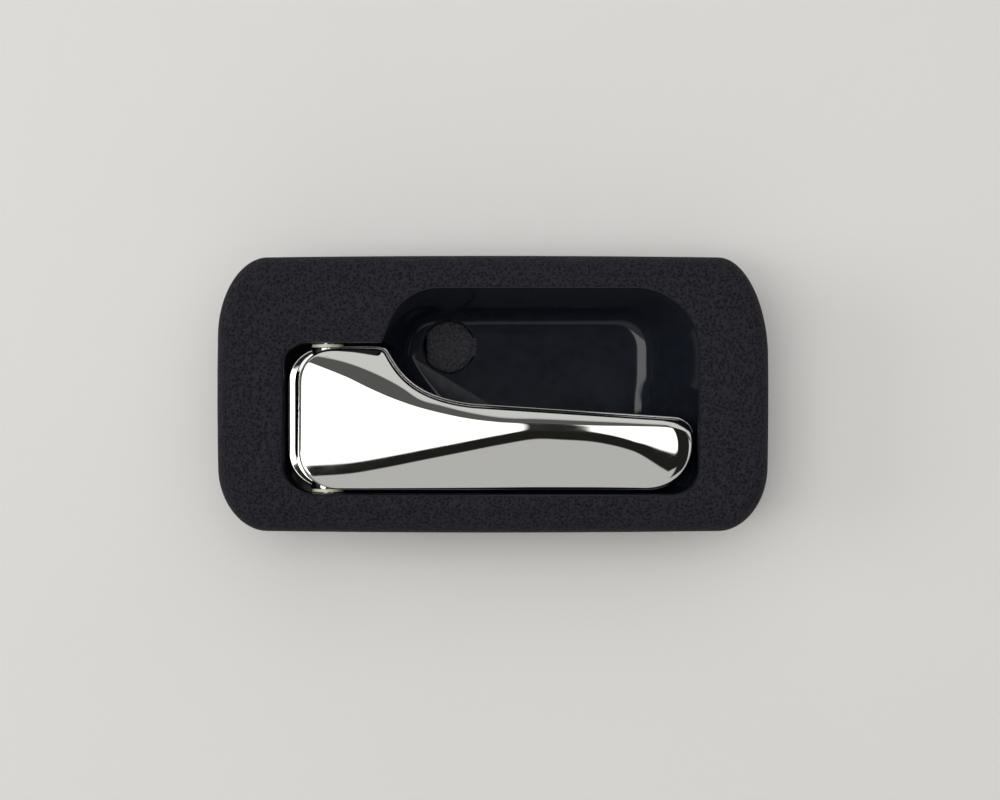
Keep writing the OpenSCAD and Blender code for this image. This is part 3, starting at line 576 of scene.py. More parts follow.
@dataclass
class Bezel:
    """The moulded bezel: face, rolled rim, finger cup, pocket and rear structure.

    Its rings have a straight step after each of their parts, 60 coarse steps in all. On the
    basin's rings, the wall between pocket and cup runs up to step FAR and again from step NEAR.
    """

    FAR = 10
    NEAR = 44

    length: float = 150.4
    width: float = 75.6
    height: float = 10.0
    wall: float = 2.4
    corner: float = 13.0
    corner_low: float = 17.0
    corner_pivot: float = 21.0
    corner_free: float = 27.0
    end_bow: float = 0.7
    side_bow: float = 0.6
    roll: float = 5.6
    inner_roll: float = 0.6
    skirt: float = 1.6
    crown: float = 1.1
    lip: float = 1.1
    land: float = 0.6
    cup_depth: float = 14.0
    cup_top_band: float = 9.6
    cup_end_band: float = 20.0
    cup_rise: float = 14.4
    end_slope: float = 14.5
    top_slope: float = 8.2
    low_slope: float = 6.0
    near_slope: float = 6.7
    far_radius: float = 17.0
    near_radius: float = 14.0
    grip_radius: float = 7.0
    pocket_low_radius: float = 8.0
    pocket_top_radius: float = 6.5
    cusp_radius: float = 1.5
    pocket_end_band: float = 19.0
    pocket_low_band: float = 11.0
    pocket_length: float = 26.5
    cusp_lean: float = 5.9
    shelf: float = -5.0
    foot: float = -22.0
    floor_radius: float = 6.0
    floor_ease: float = 1.4
    clear: float = 1.2
    fine: int = 4
    cap_radius: float = 7.2
    cap_gap: float = 0.25
    cap_depth: float = 0.9
    cap_chamfer: float = 0.45
    screw_run: float = 17.2
    screw_inset: float = 6.6
    screw_hole: float = 2.6
    socket: float = 6.3
    socket_depth: float = 5.2
    boss_top: float = 7.45
    boss_foot: float = 9.85
    pin_bore: float = PIN_RADIUS + 0.02
    pin_boss: float = 5.17
    pad_hole: float = 1.22
    pad_post: float = 2.4
    hook_inset: float = 9.2
    hook_width: float = 9.0
    rib_inset: float = 13.2
    rib_half: float = 8.0
    stiffener: float = 2.0

    def __post_init__(self) -> None:
        """Work out the plan from the outline and the face round the opening."""
        self.count = (sum(STEPS) + len(STEPS)) * self.fine
        self.lip_z = self.height - self.lip
        self.cup_top = self.width / 2 - self.cup_top_band
        self.cup_end = self.length / 2 - self.cup_end_band
        self.pocket_end = self.length / 2 - self.pocket_end_band
        self.pocket_top = self.cup_top - self.cup_rise
        self.pocket_low = -self.width / 2 + self.pocket_low_band
        self.cusp = -self.pocket_end + self.pocket_length
        self.floor_far = self.cup_end - self.end_slope
        self.floor_top = self.cup_top - self.top_slope
        self.floor_low = self.pocket_low + self.low_slope
        self.floor_near = self.cusp + self.near_slope
        self.divide_top = ((self.cusp + 1.3, self.pocket_top - 0.6), (self.cusp + 2.7, -1.0),
                           (self.cusp + 26.7, self.pocket_low + 0.4))
        self.divide_low = ((self.cusp + 7, self.pocket_top - 3), (self.cusp + 9.7, 3.0),
                           (self.cusp + 35.7, self.floor_low))
        self.screw = (self.cusp + self.screw_run, self.floor_top - self.screw_inset)

    def stations(self, parts: Sequence[Callable[[int], Points]], counts: Sequence[int]) -> Points:
        """Join curve parts to one ring, with straight steps between the parts.

        Args:
            parts: functions from a number of steps to that many points and one.
            counts: number of coarse steps on each part.

        Returns:
            The ring, with fine points for each coarse one.
        """
        pieces = [part(n * self.fine) for part, n in zip(parts, counts)]
        ring = []
        for i, piece in enumerate(pieces):
            after = pieces[(i + 1) % len(pieces)][0]
            ring += list(piece) + list(run(piece[-1], after, self.fine)[1:-1])
        return np.array(ring)

    def outline(self, inset: float) -> Points:
        """Return the bezel's outline drawn inwards by inset, with bowed sides."""
        hl = self.length / 2 - inset - self.end_bow
        hw = self.width / 2 - inset - self.side_bow
        low, free, pivot = (np.maximum(np.array([self.corner, h]) - inset, 2.0)
                            for h in (self.corner_low, self.corner_free, self.corner_pivot))
        ring = self.stations(
            [
                lambda n: arc(np.array([-hl, -hw]) + low, low, 180, 270, n),
                lambda n: run((-25, -hw), (12, -hw), n),
                lambda n: arc(np.array([hl - low[0], -hw + low[1]]), low, 270, 360, n),
                lambda n: run((hl, -14), (hl, 8), n),
                lambda n: arc(np.array([hl, hw]) - free, free, 0, 90, n),
                lambda n: run((10, hw), (-25, hw), n),
                lambda n: run((-30, hw), (-42, hw), n),
                lambda n: arc(np.array([-hl + pivot[0], hw - pivot[1]]), pivot, 90, 180, n),
                lambda n: run((-hl, 14), (-hl, -14), n),
            ],
            STEPS,
        )
        x, y = ring[:, 0], ring[:, 1]
        bow_x = 1 + self.end_bow / hl * (1 - (y / hw) ** 2)
        bow_y = 1 + self.side_bow / hw * (1 - (x / hl) ** 2)
        return np.stack([x * bow_x, y * bow_y], 1)

    def opening(self, grow: float) -> Points:
        """Return the edge of the opening for cup and lever, grown into the face."""
        g, rise, lean = grow, self.cup_rise, self.cusp_lean
        back = g * (math.hypot(lean, rise) - lean) / rise
        near, far, low, top = -self.pocket_end - g, self.cup_end + g, self.pocket_low - g, self.cup_top + g
        low_near, low_far, top_far = (near, low), (far, low), (far, top)
        top_near, cusp = (self.cusp + lean - back, top), (self.cusp - back, self.pocket_top + g)
        pocket_near = (near, self.pocket_top + g)
        return self.stations(
            [
                lambda n: round_corner(pocket_near, low_near, low_far, self.pocket_low_radius + g, n),
                lambda n: run((-16, low), (8, low), n),
                lambda n: round_corner(low_near, low_far, top_far, self.grip_radius + g, n),
                lambda n: run((far, -12), (far, 4), n),
                lambda n: round_corner(low_far, top_far, top_near, self.far_radius + g, n),
                lambda n: round_corner(top_far, top_near, cusp, self.near_radius + g, n),
                lambda n: round_corner(top_near, cusp, pocket_near, max(self.cusp_radius - g, 0.3), n),
                lambda n: round_corner(cusp, pocket_near, low_near, self.pocket_top_radius + g, n),
                lambda n: run((near, 2), (near, -13), n),
            ],
            STEPS,
        )

    def divide(self, points: Corners, grow: float, middle: Points) -> Points:
        """Return a ring whose near part follows the wall between pocket and cup.

        Args:
            points: the wall's curve as three control points.
            grow: how far the curve moves into the wall.
            middle: the ring's points on the cup side, between the curve's two ends.

        Returns:
            The whole ring.
        """
        a, b, c = (np.array(p, float) - [grow, grow / 2] for p in points)
        far = [0.55 + 0.25 * i / 8 for i in range(9)] + [0.9, 1.0]
        near = [*(0.03 * i for i in range(4)), *np.linspace(0.15, 0.38, 9), *np.linspace(0.43, 0.5, 3), 0.55]
        steps = np.arange(self.count) / self.fine
        shares = np.where(
            steps < self.NEAR,
            np.interp(steps, range(self.FAR + 1), far),
            np.interp(steps, range(self.NEAR, self.NEAR + len(near)), near),
        )
        ring = np.array([bezier(a, b, c, t) for t in shares])
        inside = (steps > self.FAR) & (steps < self.NEAR)
        ring[inside] = middle[inside]
        return ring

    def floor(self, grow: float) -> Points:
        """Return the foot of the cup walls on the cup floor."""
        g, radius = grow, self.floor_radius + grow
        far, top = self.floor_far - self.floor_ease + g, self.floor_top - 0.6 * self.floor_ease + g
        low, turn = self.floor_low - g, self.divide_low[2]
        start, foot = np.array(turn) - [g, g / 2], np.array(self.divide_low[0]) - [g, 0]
        low_far, top_far, top_near = (far, low), (far, top), (self.floor_near - g, top)
        middle = self.stations(
            [
                lambda n: run(start, start, n),
                lambda n: run((turn[0] + 3, low), (turn[0] + 10, low), n),
                lambda n: round_corner((turn[0], low), low_far, top_far, radius, n),
                lambda n: run((far, -9), (far, 5), n),
                lambda n: round_corner(low_far, top_far, top_near, radius, n),
                lambda n: round_corner(top_far, top_near, foot, radius, n),
                lambda n: run(foot, foot, n),
            ],
            [self.FAR, 2, 8, 2, 8, 8, 15],
        )
        return self.divide(self.divide_low, g, middle)

    def wall_ring(self, depth: float, level: int, t: float = 0.0) -> Points:
        """Return a ring of the basin, between the opening and the cup floor.

        Args:
            depth: how deep in the wall the ring lies, 0 on the side that shows.
            level: 0 or 1 on the pocket floor and upper wall, 2 on the fillet to the cup floor.
            t: share of the way along that fillet.

        Returns:
            The ring in space.
        """
        top, foot = self.opening(depth), self.floor(depth * 0.6)
        shelf = self.divide(self.divide_top, depth, foot)
        points = []
        for i in range(self.count):
            parts = [share * self.wall_point(zone, top[i], shelf[i], foot[i], depth, level, t)
                     for zone, share in self.shares(i / self.fine).items()]
            points.append(sum(parts))
        return np.array(points)

    def shares(self, step: float) -> dict[Zone, float]:
        """Return how much each zone counts at a coarse step."""
        pocket = 1 - smooth(step - self.FAR) if step < 30 else smooth(step - self.NEAR - 1)
        beside = smooth(step - self.FAR) * (1 - smooth(step - 24))
        return {Zone.POCKET: pocket, Zone.BESIDE: beside, Zone.CUP: 1 - pocket - beside}

    def wall_point(self, zone: Zone, top: Points, shelf: Points, foot: Points, depth: float, level: int,
                   t: float) -> Points:
        """Return one point of a basin ring, as if its whole wall were of one zone."""
        shelf_z, foot_z = self.shelf - depth, -self.cup_depth - depth
        starts = {
            Zone.POCKET: (shelf, shelf_z), Zone.BESIDE: (top, self.clear), Zone.CUP: (top, self.lip_z),
        }
        start, start_z = starts[zone]
        bend, reach = zone.value
        a = bend - (1 - bend) * reach
        if level == 2:
            p = bezier(mix(start, foot, a), mix(start, foot, bend), foot, t)
            z = bezier(mix(start_z, foot_z, a / bend), foot_z, foot_z, t)
        elif zone is Zone.POCKET:
            p, z = (top if level == 0 else shelf), shelf_z
        elif zone is Zone.BESIDE:
            p, z = top, mix(self.lip_z, self.clear, 0.5 * (level + 1))
        else:
            u = a * (level + 1) / 3
            p, z = mix(top, foot, u), mix(self.lip_z, foot_z, u / bend)
        return np.append(p, z)

    def face(self, t: float, drop: float) -> Points:
        """Return a ring of the crowned face, from the roll (0) to the lip (1)."""
        inner = self.opening(self.lip + self.land * (1 - drop / self.wall))
        return lift(mix(self.outline(self.roll), inner, t), self.height - self.crown * (1 - t) ** 2 - drop)

    def rim(self, inner: bool, angle: float) -> Points:
        """Return a ring of the rolled edge at an angle of its quarter turn."""
        w = self.wall if inner else 0.0
        span = self.roll + (self.inner_roll if inner else 0.0) - w
        rise = self.height - self.crown - w - self.skirt
        a = math.radians(angle)
        return lift(self.outline(w + span * (1 - math.cos(a))), self.skirt + rise * math.sin(a))

    def shell(self) -> bpy.types.Object:
        """Build the moulding's shell with its cup, and return the piece."""
        mesh = bmesh.new()
        wall = [self.wall_ring(0, 2, t) for t in (1, 0.88, 0.75, 0.6, 0.45, 0.3, 0.15, 0)]
        steep = [self.wall_ring(0, level) for level in (1, 0)]
        lip = [lift(self.opening(self.lip * (1 - math.cos(a))), self.lip_z + self.lip * math.sin(a))
               for a in map(math.radians, range(0, 91, 15))]
        face = [self.face(t, 0) for t in (0.85, 0.7, 0.5, 0.35, 0.2, 0.08)]
        rim = [self.rim(False, a) for a in range(90, -1, -9)] + [lift(self.outline(0), 0)]
        outside = wall + steep + lip + face + rim
        # The cup's smooth finish runs up to the last but two of the lip's rings
        satin = len(wall + steep + lip) - 3
        first, last = sweep(mesh, outside, [int(i < satin) for i in range(len(outside) - 1)])
        w = self.wall
        inside = [lift(self.outline(w), 0)] + [self.rim(True, a) for a in (0, 30, 60, 90)]
        inside += [self.face(0.45, w), lift(self.opening(w), self.height - w)]
        inside += [self.wall_ring(w, level) for level in (0, 1)]
        inside += [self.wall_ring(w, 2, t) for t in (0, 0.5, 1)]
        _, back = sweep(mesh, outside[-1:] + inside, [1] * len(inside), last)
        for loop in (first, back):
            mesh.faces.new(loop).material_index = 1
        bmesh.ops.recalc_face_normals(mesh, faces=mesh.faces)
        piece = publish("bezel_moulding", mesh, Body.BEZEL,
                        [Finish.GRAINED_ABS, Finish.SATIN_ABS], ["bezel"])
        cut_away(piece, self.recess())
        return piece

    def pads(self) -> list[tuple[float, float]]:
        """Return the centres of the two rest pads."""
        x = self.cusp - 4.3
        return [(x, self.pocket_top - 7.3), (x, self.pocket_low + 3.2)]

    def recess(self) -> Mesh:
        """Return the mesh that cuts the cap's recess and every hole through the shell."""
        cutter = bmesh.new()
        hole, socket, rim = self.screw_hole, self.socket, self.cap_radius + self.cap_gap
        floor_z, wide = -self.cup_depth, rim + self.cap_chamfer
        seat, ledge, chamfer_top = floor_z - self.socket_depth, floor_z - self.cap_depth, floor_z + 0.15
        low, high = floor_z - 12, floor_z + 9
        profile = [(0, low), (hole, low), (hole, seat), (socket, seat), (socket, ledge), (rim, ledge),
                   (rim, chamfer_top - self.cap_chamfer), (wide, chamfer_top), (wide, high), (0, high)]
        lathe(cutter, profile, Matrix.Translation((*self.screw, 0)), 72)
        under = self.shelf - self.wall - 2
        block(cutter, (SLOT_X[0], SLOT_Y[0], under), (SLOT_X[1], SLOT_Y[1], self.shelf + 2), 0.3)
        for y in (self.pocket_top - 0.5, self.pocket_low - 3.5):
            rod(cutter, self.pin_bore, 0, 5, along_pin(y))
        for x, y in self.pads():
            rod(cutter, self.pad_hole, under, self.shelf + 1.5, Matrix.Translation((x, y, 0)), 32)
        return cutter

    def back(self) -> bpy.types.Object:
        """Build the rear structure: bosses, side walls, stiffeners, hooks, clip rib."""
        mesh = bmesh.new()
        self.bosses(mesh)
        self.side_walls(mesh)
        self.stiffeners(mesh)
        self.holds(mesh)
        return publish("bezel_back", mesh, Body.BEZEL, [Finish.SATIN_ABS])

    def bosses(self, mesh: Mesh) -> None:
        """Add the pin's bosses, the screw's boss and the rest pads' posts."""
        for y, length in ((self.pocket_top + 1.2, 3.8), (self.pocket_low - 3.4, 2.2)):
            tube(mesh, self.pin_boss, self.pin_bore, 0, length, along_pin(y))
        ledge, under, seat = -self.cup_depth - self.cap_depth, -self.cup_depth - 0.4, self.foot + 3
        profile = [(self.screw_hole, self.foot), (self.boss_foot, self.foot), (self.boss_foot, under),
                   (self.boss_top, under), (self.boss_top, ledge), (self.socket, ledge),
                   (self.socket, seat), (self.screw_hole, seat)]
        lathe(mesh, soften(profile, 0.25), Matrix.Translation((*self.screw, 0)), 72)
        for x, y in self.pads():
            place = Matrix.Translation((x, y, 0))
            tube(mesh, self.pad_post, self.pad_hole, self.shelf - 0.5, -1.6, place, 0.2, 40)

    def side_walls(self, mesh: Mesh) -> None:
        """Add the walls above and below the crank, the lower one with a notch for the rod."""
        near, top, notch, notch_top = -self.pocket_end - 0.4, 6.0, 4.0, -12.0
        far = near + 24
        plain = [(near, self.foot), (far, self.foot), (far, top), (near, top)]
        left, right = PIVOT_X - notch, PIVOT_X + notch
        gap = [(left, self.foot), (left, notch_top), (right, notch_top), (right, self.foot)]
        notched = plain[:1] + gap + plain[1:]
        for outline, y in ((plain, self.pocket_top + 0.5), (notched, self.pocket_low - self.wall - 0.7)):
            plate(mesh, [(x, -z) for x, z in outline], self.wall + 0.2, along_y(y))

    def stiffeners(self, mesh: Mesh) -> None:
        """Add two upright ribs and a level one under the cup floor."""
        far, thick, under = self.floor_far, self.stiffener, -self.cup_depth
        for x in (far - 24.7, far - 6.7):
            low, high = self.floor_low + 3, self.floor_top - 5
            block(mesh, (x, low, self.foot), (x + thick, high, under - 0.8))
        block(mesh, (far - 30.7, -1 - thick, self.foot + 2), (far - 0.7, -1, under - 1))

    def holds(self, mesh: Mesh) -> None:
        """Add the two hooks at the pivot end and the panel clip's rib at the free end."""
        under_face, hook_low, tongue_top, rib_low = self.height - 1.8, -5.4, -3.0, -8.4
        hook, rib = -self.length / 2 + self.hook_inset, self.length / 2 - self.rib_inset
        for y in (-24.0, 10.0):
            end = y + self.hook_width
            block(mesh, (hook, y, hook_low), (hook + 2.6, end, under_face))
            block(mesh, (hook - 6.5, y, hook_low), (hook + 0.5, end, tongue_top), 0.6)
        block(mesh, (rib, -self.rib_half, rib_low), (rib + self.stiffener, self.rib_half, under_face))

    def build(self) -> None:
        """Build every piece of the bezel."""
        self.shell()
        self.back()


# Lever


@dataclass
class Lever:
    """The chrome-plated pull lever, with its faceted face and its hem.

    Corners, arch and end_roll hold their reach along X and their size along Y or down.
    """

    start: float = -51.9
    end: float = 53.8
    top: float = 12.4
    low: float = -25.4
    height: float = 13.0
    back: float = 2.0
    wall: float = 2.3
    edge: float = 0.85
    hem: float = 0.8
    hem_top: float = 4.6
    hem_round: float = 0.35
    nose: float = 2.9
    flat_nose: float = 0.62
    side_nose: float = 0.6
    count: int = 640
    near_top: tuple = (9.0, 9.0)
    far_top: tuple = (4.2, 3.6)
    near_low: tuple = (10.0, 10.0)
    far_low: tuple = (11.5, 12.5)
    shoulder_fall: tuple = (-32.0, 2.6, 0.4)
    grip_slope: float = 0.066
    arch_middle: float = 8.0
    arch: tuple = (60.0, 0.9)
    end_top: float = -6.5
    end_top_corner: tuple = (7.0, 6.0)
    end_low: float = -25.5
    end_low_corner: tuple = (12.0, 10.0)
    end_lead: float = 1.5
    end_roll: tuple = (6.5, 5.0)
    tilt: float = 0.2
    hollow: float = 0.0028
    fold: float = 0.26
    crease: float = 4.4
    crease_growth: tuple = (38.0, 12.0, 1.4)
    bevel_fall: tuple = (0.25, 0.7)
    break_fall: tuple = (0.22, 2.0)
    barrel_top: float = 12.7
    barrel_low: float = -25.7
    barrel: float = 4.57
    barrel_length: float = 6.0
    bush: float = 3.17
    flange: float = 4.77
    pin_room: float = 2.6
    rib_half: float = 0.9
    rib_margin: float = 1.2
    shoulder: tuple = ((-29.4, 12.0), (-26.5, 6.5), (-22.5, -1.6), (-5.0, -3.35))
    ridge: tuple = ((-52, -21.2), (-46.2, -20.9), (-38.2, -20.3), (-28.8, -18.7), (-19.5, -16.8),
                    (-6.1, -14.1), (1.9, -12.5), (12.6, -10.9), (18, -11.1), (28.7, -12.0),
                    (39.4, -15.0), (46.1, -18.6), (53.8, -22))
    bevel: tuple = ((-52, 9.5), (-49.7, 8.6), (-39.5, 4.6), (-30.4, 0.3), (-19.5, -3.7), (-14.1, -5.1),
                    (-6.1, -6.7), (1.9, -7.6), (12.6, -8.0), (28.7, -8.5), (39.4, -8.6), (46.1, -8.8),
                    (53.8, -10.2))
    break_line: tuple = ((-52, 10.4), (-47.5, 9.9), (-38.2, 7.8), (-32, 5.4), (-24.3, 1.4), (-19.5, -1.8),
                         (-14.1, -3.4), (-6.1, -5.4), (1.9, -6.7), (12.6, -7.1), (28.7, -7.8), (53.8, -9.0))

    def upper(self, x: Points) -> Points:
        """Return the upper edge of the face at x."""
        t = np.linspace(0, 1, 400)[:, None]
        p = [np.array(c) for c in self.shoulder]
        curve = (1 - t) ** 3 * p[0] + 3 * t * (1 - t) ** 2 * p[1] + 3 * t * t * (1 - t) * p[2] + t**3 * p[3]
        begin, reach, fall = self.shoulder_fall
        flat = self.top - fall * np.maximum(0, (x - begin) / reach) ** 2
        grip = p[3][1] - self.grip_slope * (x - p[3][0])
        y = np.where(x < p[0][0], flat, np.where(x < p[3][0], np.interp(x, curve[:, 0], curve[:, 1]), grip))
        return y - quarter(x - self.start, *self.near_top) - quarter(self.end - x, *self.far_top)

    def lower(self, x: Points) -> Points:
        """Return the lower edge of the face at x."""
        return self.low + quarter(x - self.start, *self.near_low) + quarter(self.end - x, *self.far_low)

    def outline(self) -> Points:
        """Return the face's outline, evenly spaced and with eased corners."""
        x = self.start + (self.end - self.start) * (1 - np.cos(np.linspace(0, math.pi, 1500))) / 2
        dense = np.concatenate([np.stack([x, self.lower(x)], 1), np.stack([x, self.upper(x)], 1)[::-1]])
        dense = np.concatenate([dense, dense[:1]])
        step = np.concatenate([[0], np.cumsum(np.linalg.norm(np.diff(dense, axis=0), axis=1))])
        at = np.linspace(0, step[-1], self.count, endpoint=False)
        ring = np.stack([np.interp(at, step, dense[:, k]) for k in (0, 1)], 1)
        for _ in range(8):
            ring = 0.5 * ring + 0.25 * (np.roll(ring, 1, 0) + np.roll(ring, -1, 0))
        return ring

    def surface(self, x: Points, y: Points) -> Points:
        """Return the height of the face at x and y, without its rolled edge.

        Args:
            x: places along the handle.
            y: places across it.

        Returns:
            Heights, which fall away at the free end along a line that turns with the outline.
        """
        r, b, c = (curve_at(line, x) for line in (self.ridge, self.bevel, self.break_line))
        end = self.end - quarter(self.end_top - y, *self.end_top_corner)
        end = end - quarter(y - self.end_low, *self.end_low_corner)
        half, drop = self.arch
        top = self.height - drop * ((x - self.arch_middle) / half) ** 2
        top = top - quarter(end - x + self.end_lead, *self.end_roll)
        begin, reach, growth = self.crease_growth
        crease = self.crease * (1 + growth * np.clip((x - begin) / reach, 0, 1))
        z = top + self.tilt * (y - r) - self.hollow * np.maximum(0, r - y) ** 2
        z = z - self.fold * ramp(y - r, crease)
        for line, (fall, width) in ((b, self.bevel_fall), (c, self.break_fall)):
            z = z - fall * ramp(y - line, width)
        return z

    def on_face(self, ring: Points, below: float = 0.0) -> Points:
        """Return a plane ring laid on the face, or below it."""
        return lift(ring, self.surface(ring[:, 0], ring[:, 1]) - below)

    def offset(self, ring: Points, away: float, nose: float = 0.0) -> Points:
        """Return the ring moved outwards, and further out at the pivot end."""
        normal = outward(ring)
        reach = away + nose * np.maximum(0, -normal[:, 0]) ** 2
        reach = away + nose * np.maximum(0, -normal[:, 0]) ** 2
        return ring + normal * reach[:, None]

    def hem_rows(self, ring: Points) -> list[Points]:
        """Return the rings from the hem's back edge up to the rolled edge of the face."""
        chamfer, gap, bow = 0.3, 0.06, 0.1 * np.maximum(0, -outward(ring)[:, 0]) ** 16
        rows = [lift(self.offset(ring, self.hem - chamfer, self.nose), self.back),
                lift(self.offset(ring, self.hem, self.nose), self.back + chamfer)]
        for a in map(math.radians, (0, 30, 60, 90)):
            flat = self.offset(ring, self.hem - self.hem_round * (1 - math.cos(a)), self.nose)
            rows.append(lift(flat, self.hem_top - self.hem_round * (1 - math.sin(a))))
        for t in (0.06, 0.94, 1.0):
            nose = self.nose * mix(1.0, self.flat_nose, t)
            flat = self.offset(ring, mix(self.hem - self.hem_round, gap, t), nose)
            rows.append(lift(flat, self.hem_top + bow * t))
        edge_z = self.surface(ring[:, 0], ring[:, 1]) - self.edge
        for t in (0.08, 0.3, 0.65):
            side = self.offset(ring, gap / 2, self.nose * self.side_nose * (1 - t))
            rows.append(lift(side, mix(self.hem_top, edge_z, t)))
        return rows

    def shell(self) -> bpy.types.Object:
        """Build the chromed shell and return the piece."""
        mesh = bmesh.new()
        ring = self.outline()
        spine_x = np.clip(ring[:, 0], self.start + 12, self.end - 8)
        spine = np.stack([spine_x, (self.upper(spine_x) + self.lower(spine_x)) / 2], 1)
        rows = self.hem_rows(ring)
        for a in map(math.radians, range(0, 91, 10)):
            rows.append(self.on_face(self.offset(ring, -self.edge * (1 - math.cos(a))),
                                     self.edge * (1 - math.sin(a))))
        start, inner = self.offset(ring, -self.edge), self.offset(ring, -self.wall)
        rows += [self.on_face(mix(start, spine, t)) for t in np.linspace(0, 1, 61)[1:]]
        under = [rows[0], lift(inner, self.back)]
        under += [self.on_face(mix(inner, spine, t), self.wall) for t in (0.0, 0.3, 0.6, 1.0)]
        first, _ = sweep(mesh, rows)
        sweep(mesh, under, start=first)
        bmesh.ops.remove_doubles(mesh, verts=mesh.verts, dist=1e-4)
        bmesh.ops.recalc_face_normals(mesh, faces=mesh.faces)
        piece = publish("lever_shell", mesh, Body.LEVER, [Finish.CHROME_PLATE],
                        ["lever"], 50)
        cut_away(piece, self.relief())
        return piece

    def relief(self) -> Mesh:
        """Return the mesh that cuts the bushes' bores and their flanges' room."""
        cutter = bmesh.new()
        inner, outer = -self.barrel_length, 3
        for y, side in ((self.barrel_top, 1), (self.barrel_low, -1)):
            profile = [(0, inner), (self.bush, inner), (self.bush, 0), (self.flange, 0),
                       (self.flange, outer), (0, outer)]
            lathe(cutter, [(r, side * h) for r, h in profile], along_pin(y))
        return cutter

    def structure(self) -> bpy.types.Object:
        """Build what is behind the face: ribs, barrels, webs, crank arm and lug."""
        mesh = bmesh.new()
        half, margin, length = self.rib_half, self.rib_margin, self.barrel_length
        for x in np.linspace(-34.0, self.end, 5)[:-1]:
            ends = np.array([self.lower(x), self.upper(x)])
            z = self.surface(np.array([x, x]), ends).min() - margin
            low, high = ends[0] + margin, ends[1] - margin
            block(mesh, (x - half, low, self.back), (x + half, high, z))
        tube(mesh, self.barrel, self.bush, -length, 0, along_pin(self.barrel_top))
        tube(mesh, self.barrel, self.bush, 0, length, along_pin(self.barrel_low))
        crank_side = CRANK_Y - self.barrel_low + 1.6
        tube(mesh, self.barrel, self.pin_room, length - 0.5, crank_side, along_pin(self.barrel_low))
        webs = ((self.barrel_top - length, self.barrel_top - 2.6), (self.barrel_low + 2.6, CRANK_Y))
        for low, high in webs:
            block(mesh, (PIVOT_X - half, low, PIVOT_Z + 4.2), (PIVOT_X + half, high, PIVOT_Z + 7))
        self.crank(mesh)
        return publish("lever_structure", mesh, Body.LEVER, [Finish.CHROME_PLATE])

    def crank(self, mesh: Mesh) -> None:
        """Add the crank arm, with the hole for the rod clip, and the spring's lug."""
        half, reach, tip, hole, thick, foot = 4.0, 18.6, 4.36, 2.91, 3.2, -6.2
        side = math.degrees(math.acos(half / tip))
        shoulder = reach - math.sqrt(tip**2 - half**2)
        eye = np.array([0, reach])
        outer = np.concatenate([
            arc(eye, tip, -side, 180 + side, 28),
            run((-half, shoulder), (-half, foot), 8)[1:],
            run((-half, foot), (half, foot), 4)[1:],
            run((half, foot), (half, shoulder), 8)[1:-1],
        ])
        inner = arc(eye, hole, -side, 360 - side, len(outer))[:-1]
        rings = [lift(outer, 0), lift(outer, thick), lift(inner, thick), lift(inner, 0), lift(outer, 0)]
        place = along_pin(CRANK_Y - thick / 2)
        first, last = sweep(mesh, [np.array([place @ Vector(p) for p in ring]) for ring in rings])
        bmesh.ops.remove_doubles(mesh, verts=first + last, dist=1e-5)
        lug_low, lug_high = (PIVOT_X, CRANK_Y, -4.7), (PIVOT_X + 2.3, CRANK_Y + 4.3, -1.1)
        block(mesh, lug_low, lug_high)

    def build(self) -> None:
        """Build every piece of the lever."""
        self.shell()
        self.structure()


def quarter(d: Points, rx: float, ry: float) -> Points:
    """Return the drop of a quarter ellipse at distance d from its end."""
    return ry * (1 - np.sqrt(np.maximum(0, 1 - (np.clip(rx - d, 0, rx) / rx) ** 2)))


def ramp(t: Points, width: float | Points) -> Points:
    """Return a ramp whose slope turns from 0 to 1 over a width round t = 0."""
    u = np.clip(t / width + 0.5, 0, 1)
    return width * (u**3 - u**4 / 2) + np.maximum(0, t - width / 2)


def curve_at(line: Sequence[tuple[float, float]], x: Points) -> Points:
    """Return the smooth curve through the points of a line at x."""
    px, py = np.array(line, float).T
    slope = np.gradient(py, px)
    i = np.clip(np.searchsorted(px, x) - 1, 0, len(px) - 2)
    h = px[i + 1] - px[i]
    t = np.clip((x - px[i]) / h, 0, 1)
    return ((2 * t**3 - 3 * t**2 + 1) * py[i] + (t**3 - 2 * t**2 + t) * h * slope[i]
            + (3 * t**2 - 2 * t**3) * py[i + 1] + (t**3 - t**2) * h * slope[i + 1])


# Small parts


@dataclass
class ScrewCap:
    """The round snap cap over the fixing screw, with its flat and its key."""

    centre: tuple[float, float] = (-12.5, 13.4)
    radius: float = 7.2
    flat: float = 6.2
    base: float = -14.9
    thick: float = 1.4
    key: tuple[float, float] = (5.4, 0.7)
    skirt: tuple[float, float] = (4.95, 6.15)
    skirt_depth: float = 3.0

    def build(self) -> None:
        """Build the cap."""
        mesh = bmesh.new()
        a = np.radians(np.arange(0, 360, 4))
        outline = np.stack([np.maximum(self.radius * np.cos(a), -self.flat), self.radius * np.sin(a)], 1)
        top = self.thick
        rows = [(0, 0), (0, top - 0.35), (0.1, top - 0.12), (0.35, top), (2.5, top + 0.08)]
        solid(mesh, [lift(outline * (1 - inset / self.radius), z) for inset, z in rows])
        width, reach = self.key
        block(mesh, (self.radius - 1.5, -width / 2, 0), (self.radius + reach, width / 2, top - 0.02), 0.2)
        inner, outer = self.skirt
        tube(mesh, outer, inner, -self.skirt_depth, 0.2, Matrix.Identity(4), 0.15, 60)
        bmesh.ops.translate(mesh, vec=(*self.centre, self.base), verts=mesh.verts)
        publish("screw_cap_dressed", mesh, Body.BEZEL, [Finish.CAP_ABS], ["screw_cap"])


